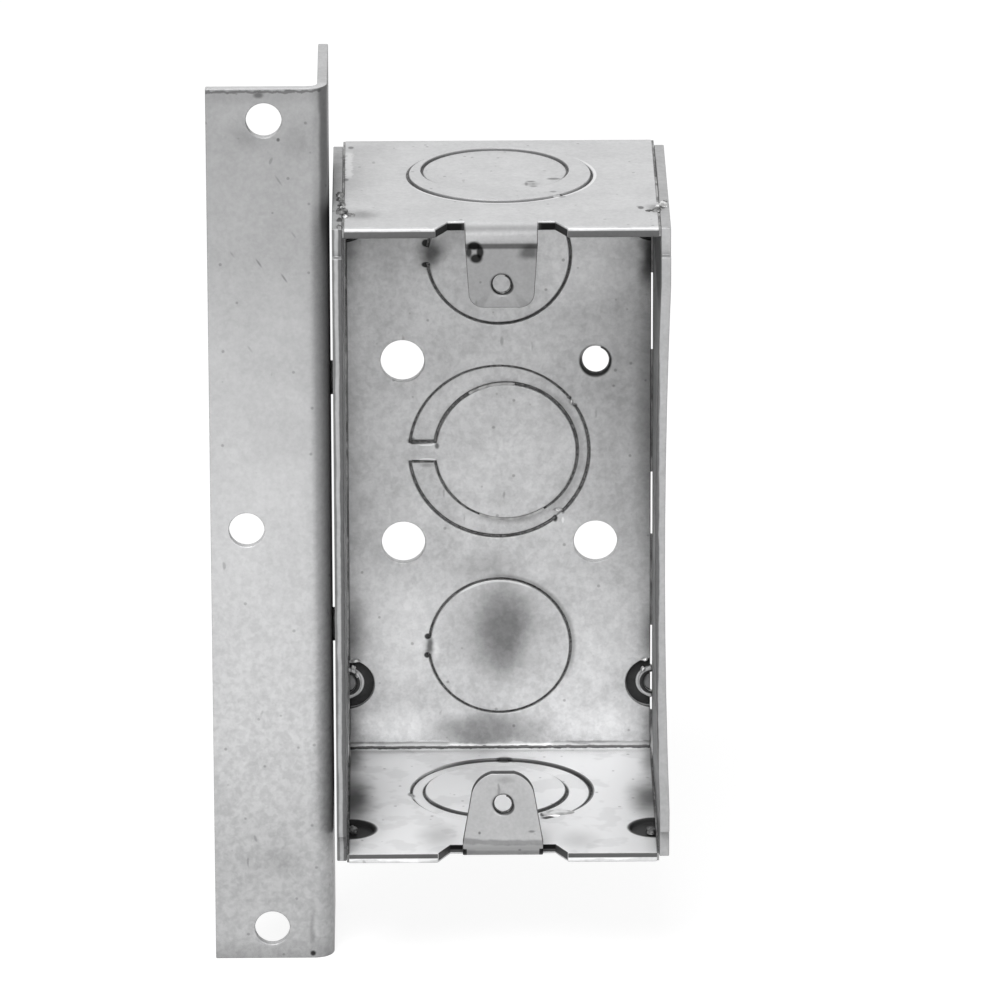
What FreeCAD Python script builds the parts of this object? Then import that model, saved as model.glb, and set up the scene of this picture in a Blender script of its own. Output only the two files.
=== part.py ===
import FreeCAD, Part
import math
import os
import Sketcher

# Utility box of folded and welded galvanised sheet steel, with an angle bracket on its left side.
# Millimetres. X runs to the right, Y from the open front to the back, Z up.
# The origin lies in the middle of the outer face of the back wall.

os.makedirs("parts", exist_ok=True)
doc = FreeCAD.newDocument("utility_box")

# Every size that can be set by itself, with the reason for its value.
SIZES = [
    # the box as a whole
    ("box_height", 101.6, "outside, over the top and bottom walls: four inches"),
    ("box_depth", 47.6, "outside, from the front edge to the back wall: one and seven eighths inches"),
    ("box_width", 50.8, "outside, over the two side plates"),
    ("sheet", 1.5, "thickness of the box sheet"),
    ("seam_gap", 0.3, "open seam between the folded body and each side plate"),
    ("fold_inside", 1.0, "inside radius of the two long folds at the back"),
    # device ears
    ("ear_setback", 1.0, "how far the ears stand behind the front edge"),
    ("ear_bend_inside", 1.3, "inside radius of the ear bends"),
    ("ear_hole_inset", 9.13, "ear holes from the outside of their wall: 83.34 apart, the standard for wiring devices"),
    ("ear_hole_diameter", 2.9, "bore of the tapped ear holes"),
    ("top_ear_base", 10.9, "width of the top ear at its bend"),
    ("top_ear_waist", 9.9, "width of the top ear where its corners begin"),
    ("top_ear_length", 12.8, "from the outside of the top wall to the end of the ear"),
    ("top_ear_corner", 2.3, "corner radius of the top ear"),
    ("bottom_ear_base", 12.3, "width of the bottom ear at its bend"),
    ("bottom_ear_waist", 9.5, "width of the bottom ear where its shoulders begin"),
    ("bottom_ear_tip", 3.4, "width of the flat tip of the bottom ear"),
    ("bottom_ear_length", 14.15, "from the outside of the bottom wall to the tip of the ear"),
    ("bottom_ear_shoulder_drop", 3.1, "height of the rounded shoulders of the bottom ear"),
    ("bottom_ear_shoulder", 4.2, "radius of the rounded shoulders of the bottom ear"),
    ("notch_inner_width", 16.1, "width over both notches at their inner end"),
    ("notch_outer_width", 20.0, "width over both notches at the front edge"),
    # knockouts
    ("slit", 0.36, "width of the sheared line round a knockout"),
    ("small_knockout", 22.6, "diameter of the half inch knockouts"),
    ("large_knockout", 28.4, "diameter of the three quarter inch knockouts"),
    ("knockout_from_end", 18.7, "middle of each single knockout from the outside of the nearer end wall"),
    ("single_tie_degrees", 14.0, "arc left uncut on the left of each single knockout"),
    ("back_disc_offset", 1.05, "how far the inner disc on the back lies right of the ring"),
    ("back_bridge", 2.9, "width of the bridge from the back wall to the inner disc"),
    ("ring_recess", 0.4, "how far the ring on the back stands behind the wall face"),
    ("tie_degrees", 5.0, "arc left uncut at each small tie of a ring"),
    ("end_knockout_from_front", 27.3, "middle of the top and bottom knockouts behind the front edge"),
    ("top_disc_left", 0.75, "how far the inner disc on top lies left of the ring"),
    ("top_disc_back", 1.95, "how far the inner disc on top lies behind the middle of the ring"),
    ("bottom_disc_left", 0.9, "how far the inner disc at the bottom lies left of the ring"),
    ("bottom_disc_back", 0.3, "how far the inner disc at the bottom lies behind the middle of the ring"),
    ("end_ring_rise", 0.3, "how far the rings on top and at the bottom are pressed outwards"),
    ("disc_tie_degrees", 8.0, "arc left uncut between a ring and its inner disc"),
    # holes in the back wall
    ("fixing_hole", 6.8, "diameter of the three plain holes in the back"),
    ("fixing_hole_x", 15.0, "plain holes and earth hole left and right of the middle"),
    ("fixing_hole_z", 14.9, "plain holes and earth hole above and below the middle"),
    ("earth_hole", 4.4, "bore of the tapped hole for the earth screw"),
    ("thread_lead", 0.35, "chamfer at both ends of the tapped holes"),
    # welds between the body and the side plates
    ("weld_well", 3.9, "radius of the half round well at each weld"),
    ("weld_well_depth", 0.75, "depth of the half round wells"),
    ("weld_crescent", 2.6, "half the length of the raised crescent in each well of the back"),
    ("weld_crescent_radius", 2.75, "outer radius of that crescent"),
    ("weld_crescent_rise", 0.45, "height of the crescent over the floor of its well"),
    ("weld_core", 1.6, "half the length of the hollow inside the crescent"),
    ("weld_core_radius", 1.75, "radius of that hollow"),
    ("weld_land", 4.4, "length of the land that meets the side plate at a top or bottom weld"),
    ("weld_land_back", 0.02, "the lands of the back wall end just short of the right plate"),
    ("back_weld_from_end", 12.4, "welds of the back wall from the outside of the nearer end wall"),
    ("end_weld_from_front", 10.8, "welds of the top and bottom walls behind the front edge"),
    # side plates
    ("plate_end", 4.3, "height of the set back ends of the plates' front edges"),
    ("plate_lip", 1.2, "how far the plates stand in front of the top and bottom walls"),
    ("plate_clip", 4.8, "corner cut off each plate at the back"),
    ("left_plate_short", 0.4, "the left plate ends this much above the underside of the box"),
    ("right_plate_short", 0.9, "the right plate ends this much above the underside of the box"),
    ("plate_bow", 0.8, "inward bow of the right plate along its front edge"),
    ("bow_from_end", 8.8, "the bow begins this far from either end of the box"),
    ("plate_knockout_z", 22.0, "knockouts of the right plate above and below the middle"),
    # bracket
    ("bracket_height", 140.0, "length of the angle bracket"),
    ("bracket_sheet", 1.5, "thickness of the bracket sheet"),
    ("bracket_face", 18.3, "width of the front leg, over the bend"),
    ("bracket_side", 24.0, "depth of the side leg, over the bend"),
    ("bracket_bend_inside", 1.5, "inside radius of the bracket bend"),
    ("bracket_setback", 9.4, "front leg behind the front edge of the box"),
    ("bracket_gap", 0.6, "space between the bracket and the left plate"),
    ("bracket_hole", 5.4, "diameter of the three bracket holes"),
    ("bracket_hole_from_end", 5.0, "end holes from the ends of the bracket"),
    ("bracket_end_hole_edge", 8.75, "end holes from the outer edge of the front leg"),
    ("bracket_mid_hole_edge", 5.5, "middle hole from the outer edge of the front leg"),
    ("button_radius", 2.6, "radius of the pressed buttons that are welded to the plate"),
    ("button_wall", 0.7, "ring of sheet left round the hollow of a button"),
    ("button_z", 20.0, "buttons above and below the middle"),
    ("button_from_face", 13.5, "buttons behind the front face of the bracket"),
]

sheet_table = doc.addObject("Spreadsheet::Sheet", "Sizes")
for row, (alias, number, reason) in enumerate(SIZES, start=1):
    sheet_table.set("A%d" % row, alias)
    sheet_table.set("B%d" % row, "%g" % number)
    sheet_table.setAlias("B%d" % row, alias)
    sheet_table.set("C%d" % row, reason)
doc.recompute()


class Size:
    """A number together with the spreadsheet formula that gives it."""

    def __init__(self, number, formula):
        self.number = number
        self.formula = formula

    def __add__(self, other):
        other = as_size(other)
        return Size(self.number + other.number, "(%s + %s)" % (self.formula, other.formula))

    def __sub__(self, other):
        other = as_size(other)
        return Size(self.number - other.number, "(%s - %s)" % (self.formula, other.formula))

    def __mul__(self, other):
        other = as_size(other)
        return Size(self.number * other.number, "(%s * %s)" % (self.formula, other.formula))

    def __truediv__(self, other):
        other = as_size(other)
        return Size(self.number / other.number, "(%s / %s)" % (self.formula, other.formula))

    def __neg__(self):
        return Size(-self.number, "(0 - %s)" % self.formula)


def as_size(entry):
    """Let plain numbers take part in formulas."""
    if isinstance(entry, Size):
        return entry
    return Size(float(entry), "%.6g" % entry)


def size(alias):
    """The named size, read back from the spreadsheet."""
    return Size(float(sheet_table.get(alias)), "Sizes.%s" % alias)


def cosine(angle):
    """Cosine of an angle in degrees."""
    angle = as_size(angle)
    return Size(math.cos(math.radians(angle.number)), "cos(%s)" % angle.formula)


def sine(angle):
    """Sine of an angle in degrees."""
    angle = as_size(angle)
    return Size(math.sin(math.radians(angle.number)), "sin(%s)" % angle.formula)


def new_body(name):
    """An empty body whose label is the name of the piece."""
    body = doc.addObject("PartDesign::Body", name)
    body.Label = name
    body.Placement = FreeCAD.Placement()
    return body


def new_sketch(body, name, plane, offset):
    """A sketch on one of the body's own planes, moved by offset along the plane's normal."""
    sketch = body.newObject("Sketcher::SketchObject", name)
    role = next(item for item in body.Origin.OriginFeatures if item.Role == plane)
    sketch.AttachmentSupport = [(role, "")]
    sketch.MapMode = "FlatFace"
    offset = as_size(offset)
    sketch.AttachmentOffset = FreeCAD.Placement(FreeCAD.Vector(0, 0, offset.number), FreeCAD.Rotation())
    sketch.setExpression("AttachmentOffset.Base.z", offset.formula)
    return sketch


def hold_point(sketch, element, corner, x, y):
    """Tie one corner of an element to its coordinates."""
    for kind, axis, coordinate in (("DistanceX", -2, x), ("DistanceY", -1, y)):
        if abs(coordinate.number) < 1e-9:
            sketch.addConstraint(Sketcher.Constraint("PointOnObject", element, corner, axis))
            continue
        index = sketch.addConstraint(
            Sketcher.Constraint(kind, -1, 1, element, corner, coordinate.number))
        sketch.setExpression("Constraints[%d]" % index, coordinate.formula)


def hold_radius(sketch, element, radius):
    """Tie the radius of an arc or circle to its formula."""
    index = sketch.addConstraint(Sketcher.Constraint("Radius", element, radius.number))
    sketch.setExpression("Constraints[%d]" % index, radius.formula)


def circle(sketch, x, y, diameter):
    """A full circle."""
    x, y = as_size(x), as_size(y)
    radius = as_size(diameter) / 2
    middle = FreeCAD.Vector(x.number, y.number, 0)
    element = sketch.addGeometry(Part.Circle(middle, FreeCAD.Vector(0, 0, 1), radius.number), False)
    hold_point(sketch, element, 3, x, y)
    hold_radius(sketch, element, radius)


def arc_centre(start, end, radius, left):
    """Middle of the short arc from start to end, with the middle on the left or right of the chord."""
    chord = end - start
    half = chord.Length / 2
    rise = math.sqrt(max(radius * radius - half * half, 0.0))
    across = FreeCAD.Vector(-chord.y, chord.x, 0).normalize()
    if not left:
        across = across * -1
    return start + chord * 0.5 + across * rise


def outline(sketch, path):
    """A closed outline. Each entry is (x, y) for a straight line to that point, or
    (x, y, radius, turn) for an arc to it: turn is "left" or "right" for a short arc,
    or the arc's own middle as a pair with its sense of rotation."""
    points = [(as_size(entry[0]), as_size(entry[1])) for entry in path]
    ends = []
    for number, entry in enumerate(path):
        start = FreeCAD.Vector(points[number - 1][0].number, points[number - 1][1].number, 0)
        end = FreeCAD.Vector(points[number][0].number, points[number][1].number, 0)
        if len(entry) == 2:
            element = sketch.addGeometry(Part.LineSegment(start, end), False)
            ends.append((element, 1, 2))
            continue
        radius = as_size(entry[2])
        turn = entry[3]
        if turn in ("left", "right"):
            middle = arc_centre(start, end, radius.number, turn == "left")
            anticlockwise = turn == "left"
        else:
            middle = FreeCAD.Vector(as_size(turn[0]).number, as_size(turn[1]).number, 0)
            anticlockwise = turn[2] == "anticlockwise"
        first, last = (start, end) if anticlockwise else (end, start)
        first_angle = math.atan2(first.y - middle.y, first.x - middle.x)
        last_angle = math.atan2(last.y - middle.y, last.x - middle.x)
        if last_angle <= first_angle:
            last_angle += 2 * math.pi
        round_line = Part.Circle(middle, FreeCAD.Vector(0, 0, 1), radius.number)
        element = sketch.addGeometry(Part.ArcOfCircle(round_line, first_angle, last_angle), False)
        hold_radius(sketch, element, radius)
        ends.append((element, 1, 2) if anticlockwise else (element, 2, 1))
    for number, (element, first, last) in enumerate(ends):
        follower, follower_first, follower_last = ends[(number + 1) % len(ends)]
        sketch.addConstraint(Sketcher.Constraint("Coincident", element, last, follower, follower_first))
        hold_point(sketch, element, last, points[number][0], points[number][1])


def pad(body, name, sketch, length, reverse=False):
    """Add material along the sketch's normal."""
    feature = body.newObject("PartDesign::Pad", name)
    feature.Profile = sketch
    length = as_size(length)
    feature.Length = length.number
    feature.setExpression("Length", length.formula)
    feature.Reversed = reverse
    sketch.Visibility = False
    doc.recompute()
    return feature


def pocket(body, name, sketch, length):
    """Take material away against the sketch's normal, and make sure something was cut."""
    before = body.Shape.Volume
    feature = body.newObject("PartDesign::Pocket", name)
    feature.Profile = sketch
    length = as_size(length)
    feature.Length = length.number
    feature.setExpression("Length", length.formula)
    sketch.Visibility = False
    doc.recompute()
    if body.Shape.Volume > before - 1e-6:
        raise RuntimeError("%s cuts nothing: %s %s" % (name, feature.State, sketch.State))
    return feature


def rim_edges(shape, radius, places):
    """Names of the round edges with this radius whose middles lie on one of the places in X and Z."""
    found = []
    for number, edge in enumerate(shape.Edges, start=1):
        curve = edge.Curve
        if not isinstance(curve, Part.Circle) or abs(curve.Radius - radius) > 1e-4:
            continue
        for x, z in places:
            if abs(curve.Center.x - x) < 1e-3 and abs(curve.Center.z - z) < 1e-3:
                found.append("Edge%d" % number)
    return found


def slit_arcs(sketch, x, y, diameter, spans):
    """Sheared lines round a knockout: one closed outline for each span of degrees."""
    x, y = as_size(x), as_size(y)
    outer = as_size(diameter) / 2
    inner = outer - size("slit")
    for first, last in spans:
        first, last = as_size(first), as_size(last)
        outline(sketch, [
            (x + outer * cosine(first), y + outer * sine(first)),
            (x + outer * cosine(last), y + outer * sine(last), outer, (x, y, "anticlockwise")),
            (x + inner * cosine(last), y + inner * sine(last)),
            (x + inner * cosine(first), y + inner * sine(first), inner, (x, y, "clockwise")),
        ])


def spans_between(ties):
    """The cut spans left between uncut ties, each tie being (middle, width) in degrees, in rising order."""
    spans = []
    for number, (middle, width) in enumerate(ties):
        following, following_width = ties[(number + 1) % len(ties)]
        start = as_size(middle) + as_size(width) / 2
        end = as_size(following) - as_size(following_width) / 2
        if end.number <= start.number:
            end = end + 360
        spans.append((start, end))
    return spans


half_height = size("box_height") / 2
depth = size("box_depth")
half_width = size("box_width") / 2
sheet = size("sheet")
plate_inside = half_width - sheet
wall_edge = plate_inside - size("seam_gap")
fold_outside = size("fold_inside") + sheet
ear_bend_outside = size("ear_bend_inside") + sheet
notch_depth = size("ear_setback") + ear_bend_outside
half_hole_span = half_height - size("ear_hole_inset")

# Folded body: top, back and bottom wall with both ears are one sheet.
body = new_body("folded_body")

section = new_sketch(body, "body_section", "YZ_Plane", -wall_edge)
outline(section, [
    (-depth, half_height),
    (-fold_outside, half_height),
    (0, half_height - fold_outside, fold_outside, "right"),
    (0, -(half_height - fold_outside)),
    (-fold_outside, -half_height, fold_outside, "right"),
    (-depth, -half_height),
    (-depth, -(half_height - sheet)),
    (-fold_outside, -(half_height - sheet)),
    (-sheet, -(half_height - fold_outside), size("fold_inside"), "left"),
    (-sheet, half_height - fold_outside),
    (-fold_outside, half_height - sheet, size("fold_inside"), "left"),
    (-depth, half_height - sheet),
])
pad(body, "body_walls", section, wall_edge * 2)

# Notches beside the ears, through the top and the bottom wall alike.
notch_middle = size("notch_inner_width") / 2
notch_front = size("notch_outer_width") / 2
for wall, level in (("top", half_height), ("bottom", -(half_height - sheet))):
    notch = new_sketch(body, "%s_notch_outline" % wall, "XY_Plane", level)
    outline(notch, [
        (-notch_front, -depth),
        (notch_front, -depth),
        (notch_middle, -(depth - notch_depth)),
        (-notch_middle, -(depth - notch_depth)),
    ])
    pocket(body, "%s_notch" % wall, notch, sheet)

# Ears: a bend the width of the ear's base, then the flat ear.
ear_front = depth - size("ear_setback")
ear_back = ear_front - sheet
bend_line = depth - notch_depth
bend_foot = half_height - ear_bend_outside
bend_overlap = sheet / 2
for name, base, sign in (("top_ear", size("top_ear_base"), 1), ("bottom_ear", size("bottom_ear_base"), -1)):
    outer_turn, inner_turn = ("left", "right") if sign > 0 else ("right", "left")
    bend = new_sketch(body, "%s_bend_section" % name, "YZ_Plane", -(base / 2))
    outline(bend, [
        (-(bend_line - bend_overlap), half_height * sign),
        (-bend_line, half_height * sign),
        (-ear_front, bend_foot * sign, ear_bend_outside, outer_turn),
        (-ear_back, bend_foot * sign),
        (-bend_line, (half_height - sheet) * sign, size("ear_bend_inside"), inner_turn),
        (-(bend_line - bend_overlap), (half_height - sheet) * sign),
    ])
    pad(body, "%s_bend" % name, bend, base)

top_end = half_height - size("top_ear_length")
top_corner = size("top_ear_corner")
top_base = size("top_ear_base") / 2
top_waist = size("top_ear_waist") / 2
top_ear = new_sketch(body, "top_ear_outline", "XZ_Plane", ear_back)
outline(top_ear, [
    (-top_base, bend_foot),
    (-top_waist, top_end + top_corner),
    (-(top_waist - top_corner), top_end, top_corner, "left"),
    (top_waist - top_corner, top_end),
    (top_waist, top_end + top_corner, top_corner, "left"),
    (top_base, bend_foot),
])
pad(body, "top_ear", top_ear, sheet)

bottom_tip = -(half_height - size("bottom_ear_length"))
bottom_shoulder = bottom_tip - size("bottom_ear_shoulder_drop")
bottom_base = size("bottom_ear_base") / 2
bottom_waist = size("bottom_ear_waist") / 2
bottom_flat = size("bottom_ear_tip") / 2
bottom_ear = new_sketch(body, "bottom_ear_outline", "XZ_Plane", ear_back)
outline(bottom_ear, [
    (bottom_base, -bend_foot),
    (bottom_waist, bottom_shoulder),
    (bottom_flat, bottom_tip, size("bottom_ear_shoulder"), "left"),
    (-bottom_flat, bottom_tip),
    (-bottom_waist, bottom_shoulder, size("bottom_ear_shoulder"), "left"),
    (-bottom_base, -bend_foot),
])
pad(body, "bottom_ear", bottom_ear, sheet)

ear_holes = new_sketch(body, "ear_hole_circles", "XZ_Plane", ear_front)
circle(ear_holes, 0, half_hole_span, size("ear_hole_diameter"))
circle(ear_holes, 0, -half_hole_span, size("ear_hole_diameter"))
pocket(body, "ear_holes", ear_holes, sheet)

# Holes in the back wall: three plain ones and the tapped one for the earth screw.
hole_x = size("fixing_hole_x")
hole_z = size("fixing_hole_z")
back_face = new_sketch(body, "fixing_hole_circles", "XZ_Plane", sheet)
circle(back_face, -hole_x, hole_z, size("fixing_hole"))
circle(back_face, -hole_x, -hole_z, size("fixing_hole"))
circle(back_face, hole_x, -hole_z, size("fixing_hole"))
pocket(body, "fixing_holes", back_face, sheet)
earth = new_sketch(body, "earth_hole_circle", "XZ_Plane", sheet)
circle(earth, hole_x, hole_z, size("earth_hole"))
pocket(body, "earth_hole", earth, sheet)

tapped = rim_edges(body.Shape, size("ear_hole_diameter").number / 2,
                   [(0, half_hole_span.number), (0, -half_hole_span.number)])
tapped += rim_edges(body.Shape, size("earth_hole").number / 2, [(hole_x.number, hole_z.number)])
drilled = body.Tip
leads = body.newObject("PartDesign::Chamfer", "thread_leads")
leads.Base = (drilled, tapped)
leads.Size = size("thread_lead").number
leads.setExpression("Size", size("thread_lead").formula)
doc.recompute()

# Single knockouts on the back, each held by one tie on its left.
single = new_sketch(body, "single_knockout_slits", "XZ_Plane", sheet)
knockout_level = half_height - size("knockout_from_end")
for level in (knockout_level, -knockout_level):
    slit_arcs(single, 0, level, size("small_knockout"), spans_between([(180, size("single_tie_degrees"))]))
pocket(body, "single_knockouts", single, sheet)

# Double knockout in the middle of the back. A bridge on the left carries the inner disc,
# so the ring round it is a C, pressed a little to the back and held by two ties.
large = size("large_knockout")
small = size("small_knockout")
disc_x = size("back_disc_offset")
ring_inner = small / 2
ring_outer = large / 2 - size("slit")
bridge_half = size("back_bridge") / 2


def bridge_degrees(diameter):
    """Arc of the bridge on a circle of this diameter, in degrees."""
    return Size(math.degrees(2 * math.asin(size("back_bridge").number / diameter.number)),
                "(2 * asin(%s / %s) / 1 deg)" % (size("back_bridge").formula, diameter.formula))


BACK_TIES = [35.5, -48.0]
double = new_sketch(body, "double_knockout_slits", "XZ_Plane", sheet)
slit_arcs(double, 0, 0, large, spans_between([
    (BACK_TIES[1], size("tie_degrees")), (BACK_TIES[0], size("tie_degrees")), (180, bridge_degrees(large))]))
slit_arcs(double, disc_x, 0, small, spans_between([(180, bridge_degrees(small))]))
pocket(body, "double_knockout", double, sheet)

bridge_cut = bridge_half + size("slit") / 2
outer_cut = Size(math.sqrt(ring_outer.number ** 2 - bridge_cut.number ** 2),
                 "sqrt(%s ^ 2 - %s ^ 2)" % (ring_outer.formula, bridge_cut.formula))
inner_cut = Size(math.sqrt(ring_inner.number ** 2 - bridge_cut.number ** 2),
                 "sqrt(%s ^ 2 - %s ^ 2)" % (ring_inner.formula, bridge_cut.formula))
recess = new_sketch(body, "ring_recess_outline", "XZ_Plane", sheet)
outline(recess, [
    (disc_x - inner_cut, bridge_cut),
    (disc_x - inner_cut, -bridge_cut, ring_inner, (disc_x, 0, "clockwise")),
    (-outer_cut, -bridge_cut),
    (-outer_cut, bridge_cut, ring_outer, (0, 0, "anticlockwise")),
])
pocket(body, "ring_recess", recess, size("ring_recess"))

# Straight slits along both sides of the bridge, joining the two round slits.
slit_outer_end = large / 2 - size("slit") / 2
slit_inner_end = disc_x - (small / 2 - size("slit") / 2)
for side, sign in (("upper", 1), ("lower", -1)):
    edge = new_sketch(body, "bridge_%s_slit" % side, "XZ_Plane", sheet)
    outline(edge, [
        (-slit_outer_end, bridge_half * sign),
        (slit_inner_end, bridge_half * sign),
        (slit_inner_end, (bridge_half + size("slit")) * sign),
        (-slit_outer_end, (bridge_half + size("slit")) * sign),
    ])
    pocket(body, "bridge_%s_cut" % side, edge, sheet)

# Double knockouts in the top and bottom walls, both off centre.
end_knockout = depth - size("end_knockout_from_front")
TOP_RING_TIES = [-52.0, 90.0]
TOP_DISC_TIE = -45.0
BOTTOM_RING_TIES = [88.0, 187.0]
BOTTOM_DISC_TIE = -60.0
top_double = new_sketch(body, "top_knockout_slits", "XY_Plane", half_height)
slit_arcs(top_double, 0, -end_knockout, large,
          spans_between([(angle, size("tie_degrees")) for angle in TOP_RING_TIES]))
slit_arcs(top_double, -size("top_disc_left"), -(end_knockout - size("top_disc_back")), small,
          spans_between([(TOP_DISC_TIE, size("disc_tie_degrees"))]))
pocket(body, "top_knockout", top_double, sheet)

bottom_double = new_sketch(body, "bottom_knockout_slits", "XY_Plane", -(half_height - sheet))
slit_arcs(bottom_double, 0, -end_knockout, large,
          spans_between([(angle, size("tie_degrees")) for angle in BOTTOM_RING_TIES]))
slit_arcs(bottom_double, -size("bottom_disc_left"), -(end_knockout - size("bottom_disc_back")), small,
          spans_between([(BOTTOM_DISC_TIE, size("disc_tie_degrees"))]))
pocket(body, "bottom_knockout", bottom_double, sheet)

# The ring of each end knockout is pressed outwards, and its inner disc stays level with the wall.
rise = size("end_ring_rise")
for wall, outside, inside, disc_left, disc_back in (
        ("top", half_height, half_height - sheet + rise, size("top_disc_left"), size("top_disc_back")),
        ("bottom", -half_height, -(half_height - sheet), size("bottom_disc_left"), size("bottom_disc_back"))):
    raised = new_sketch(body, "%s_ring_outside" % wall, "XY_Plane", outside)
    hollow = new_sketch(body, "%s_ring_inside" % wall, "XY_Plane", inside)
    for ring in (raised, hollow):
        circle(ring, 0, -end_knockout, ring_outer * 2)
        circle(ring, -disc_left, -(end_knockout - disc_back), small)
    pad(body, "%s_ring_rise" % wall, raised, rise, reverse=wall == "bottom")
    pocket(body, "%s_ring_hollow" % wall, hollow, rise)

# Half round wells at the edges of the walls, where each wall was welded to the side plates.
well = size("weld_well")
well_depth = size("weld_well_depth")
back_weld = half_height - size("back_weld_from_end")
back_wells = new_sketch(body, "back_well_circles", "XZ_Plane", sheet)
for x in (-wall_edge, wall_edge):
    for z in (-back_weld, back_weld):
        circle(back_wells, x, z, well * 2)
pocket(body, "back_wells", back_wells, well_depth)

end_weld = depth - size("end_weld_from_front")
bottom_wells = new_sketch(body, "bottom_well_circles", "XY_Plane", -(half_height - sheet))
top_wells = new_sketch(body, "top_well_circles", "XY_Plane", half_height - sheet + well_depth)
for x in (-wall_edge, wall_edge):
    circle(bottom_wells, x, -end_weld, well * 2)
    circle(top_wells, x, -end_weld, well * 2)
pocket(body, "bottom_wells", bottom_wells, well_depth)
pocket(body, "top_wells", top_wells, well_depth)

# Raised crescents in the wells of the back, their horns reaching to the side plates.
crescent = size("weld_crescent")
core = size("weld_core")
crescents = new_sketch(body, "weld_crescent_outlines", "XZ_Plane", 0)
for z in (-back_weld, back_weld):
    for sign, land, outer_turn, inner_turn in (
            (-1, plate_inside, "left", "right"), (1, plate_inside - size("weld_land_back"), "right", "left")):
        outline(crescents, [
            (wall_edge * sign, z - crescent),
            (wall_edge * sign, z + crescent, size("weld_crescent_radius"), outer_turn),
            (land * sign, z + crescent),
            (land * sign, z + core),
            (wall_edge * sign, z + core),
            (wall_edge * sign, z - core, size("weld_core_radius"), inner_turn),
            (land * sign, z - core),
            (land * sign, z - crescent),
        ])
pad(body, "weld_crescents", crescents, sheet - well_depth + size("weld_crescent_rise"))

# Lands of the top and bottom walls, as thick as the sheet left under the wells.
half_land = size("weld_land") / 2
land_overlap = size("seam_gap")
for wall, level in (("top", half_height - sheet + well_depth), ("bottom", -half_height)):
    lands = new_sketch(body, "%s_land_outlines" % wall, "XY_Plane", level)
    for sign in (-1, 1):
        outline(lands, [
            ((wall_edge - land_overlap) * sign, -(end_weld + half_land)),
            (plate_inside * sign, -(end_weld + half_land)),
            (plate_inside * sign, -(end_weld - half_land)),
            ((wall_edge - land_overlap) * sign, -(end_weld - half_land)),
        ])
    pad(body, "%s_lands" % wall, lands, sheet - well_depth)

# Side plates: flat blanks outside the folded body.
clip = size("plate_clip")
lip_front = depth + size("plate_lip")


def plate_path(bottom):
    """Outline of a side plate seen from the side, with its lower end at the given level."""
    lip_top = half_height - size("plate_end")
    lip_bottom = bottom + size("plate_end")
    return [
        (-depth, half_height),
        (-clip, half_height),
        (0, half_height - clip),
        (0, bottom + clip),
        (-clip, bottom),
        (-depth, bottom),
        (-depth, lip_bottom),
        (-lip_front, lip_bottom),
        (-lip_front, lip_top),
        (-depth, lip_top),
    ]


left = new_body("left_plate")
left_outline = new_sketch(left, "left_plate_outline", "YZ_Plane", -half_width)
outline(left_outline, plate_path(-(half_height - size("left_plate_short"))))
pad(left, "left_plate_sheet", left_outline, sheet)

# The right plate is bowed inwards along its front edge and straight at its back edge.
right = new_body("right_plate")
bottom = -(half_height - size("right_plate_short"))
bow = size("plate_bow")
reach = half_height - size("bow_from_end")
bow_radius = (reach * reach + bow * bow) / (bow * 2)
front_section = new_sketch(right, "right_plate_front_section", "XZ_Plane", lip_front)
back_section = new_sketch(right, "right_plate_back_section", "XZ_Plane", 0)
outline(front_section, [
    (half_width, half_height),
    (half_width, reach),
    (half_width, -reach, bow_radius, "left"),
    (half_width, bottom),
    (plate_inside, bottom),
    (plate_inside, -reach),
    (plate_inside, reach, bow_radius, "right"),
    (plate_inside, half_height),
])
outline(back_section, [
    (half_width, half_height),
    (half_width, reach),
    (half_width, -reach),
    (half_width, bottom),
    (plate_inside, bottom),
    (plate_inside, -reach),
    (plate_inside, reach),
    (plate_inside, half_height),
])
loft = right.newObject("PartDesign::AdditiveLoft", "right_plate_sheet")
loft.Profile = front_section
loft.Sections = [back_section]
loft.Ruled = True
doc.recompute()

# Trim the blank to the same outline as the left plate.
waste_outside = half_width * 2
trim = new_sketch(right, "right_plate_trim_outlines", "YZ_Plane", waste_outside)
lip_top = half_height - size("plate_end")
lip_bottom = bottom + size("plate_end")
outline(trim, [(-lip_front, half_height), (-depth, half_height), (-depth, lip_top), (-lip_front, lip_top)])
outline(trim, [(-lip_front, bottom), (-lip_front, lip_bottom), (-depth, lip_bottom), (-depth, bottom)])
outline(trim, [(-clip, half_height), (0, half_height), (0, half_height - clip)])
outline(trim, [(-clip, bottom), (0, bottom + clip), (0, bottom)])
pocket(right, "right_plate_trim", trim, waste_outside)

# Two half inch knockouts in the right plate, each held by one tie.
plate_slits = new_sketch(right, "right_plate_slits", "YZ_Plane", waste_outside)
for level in (size("plate_knockout_z"), -size("plate_knockout_z")):
    slit_arcs(plate_slits, -(depth / 2), level, size("small_knockout"),
              spans_between([(90, size("single_tie_degrees"))]))
pocket(right, "right_plate_knockouts", plate_slits, waste_outside)

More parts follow.
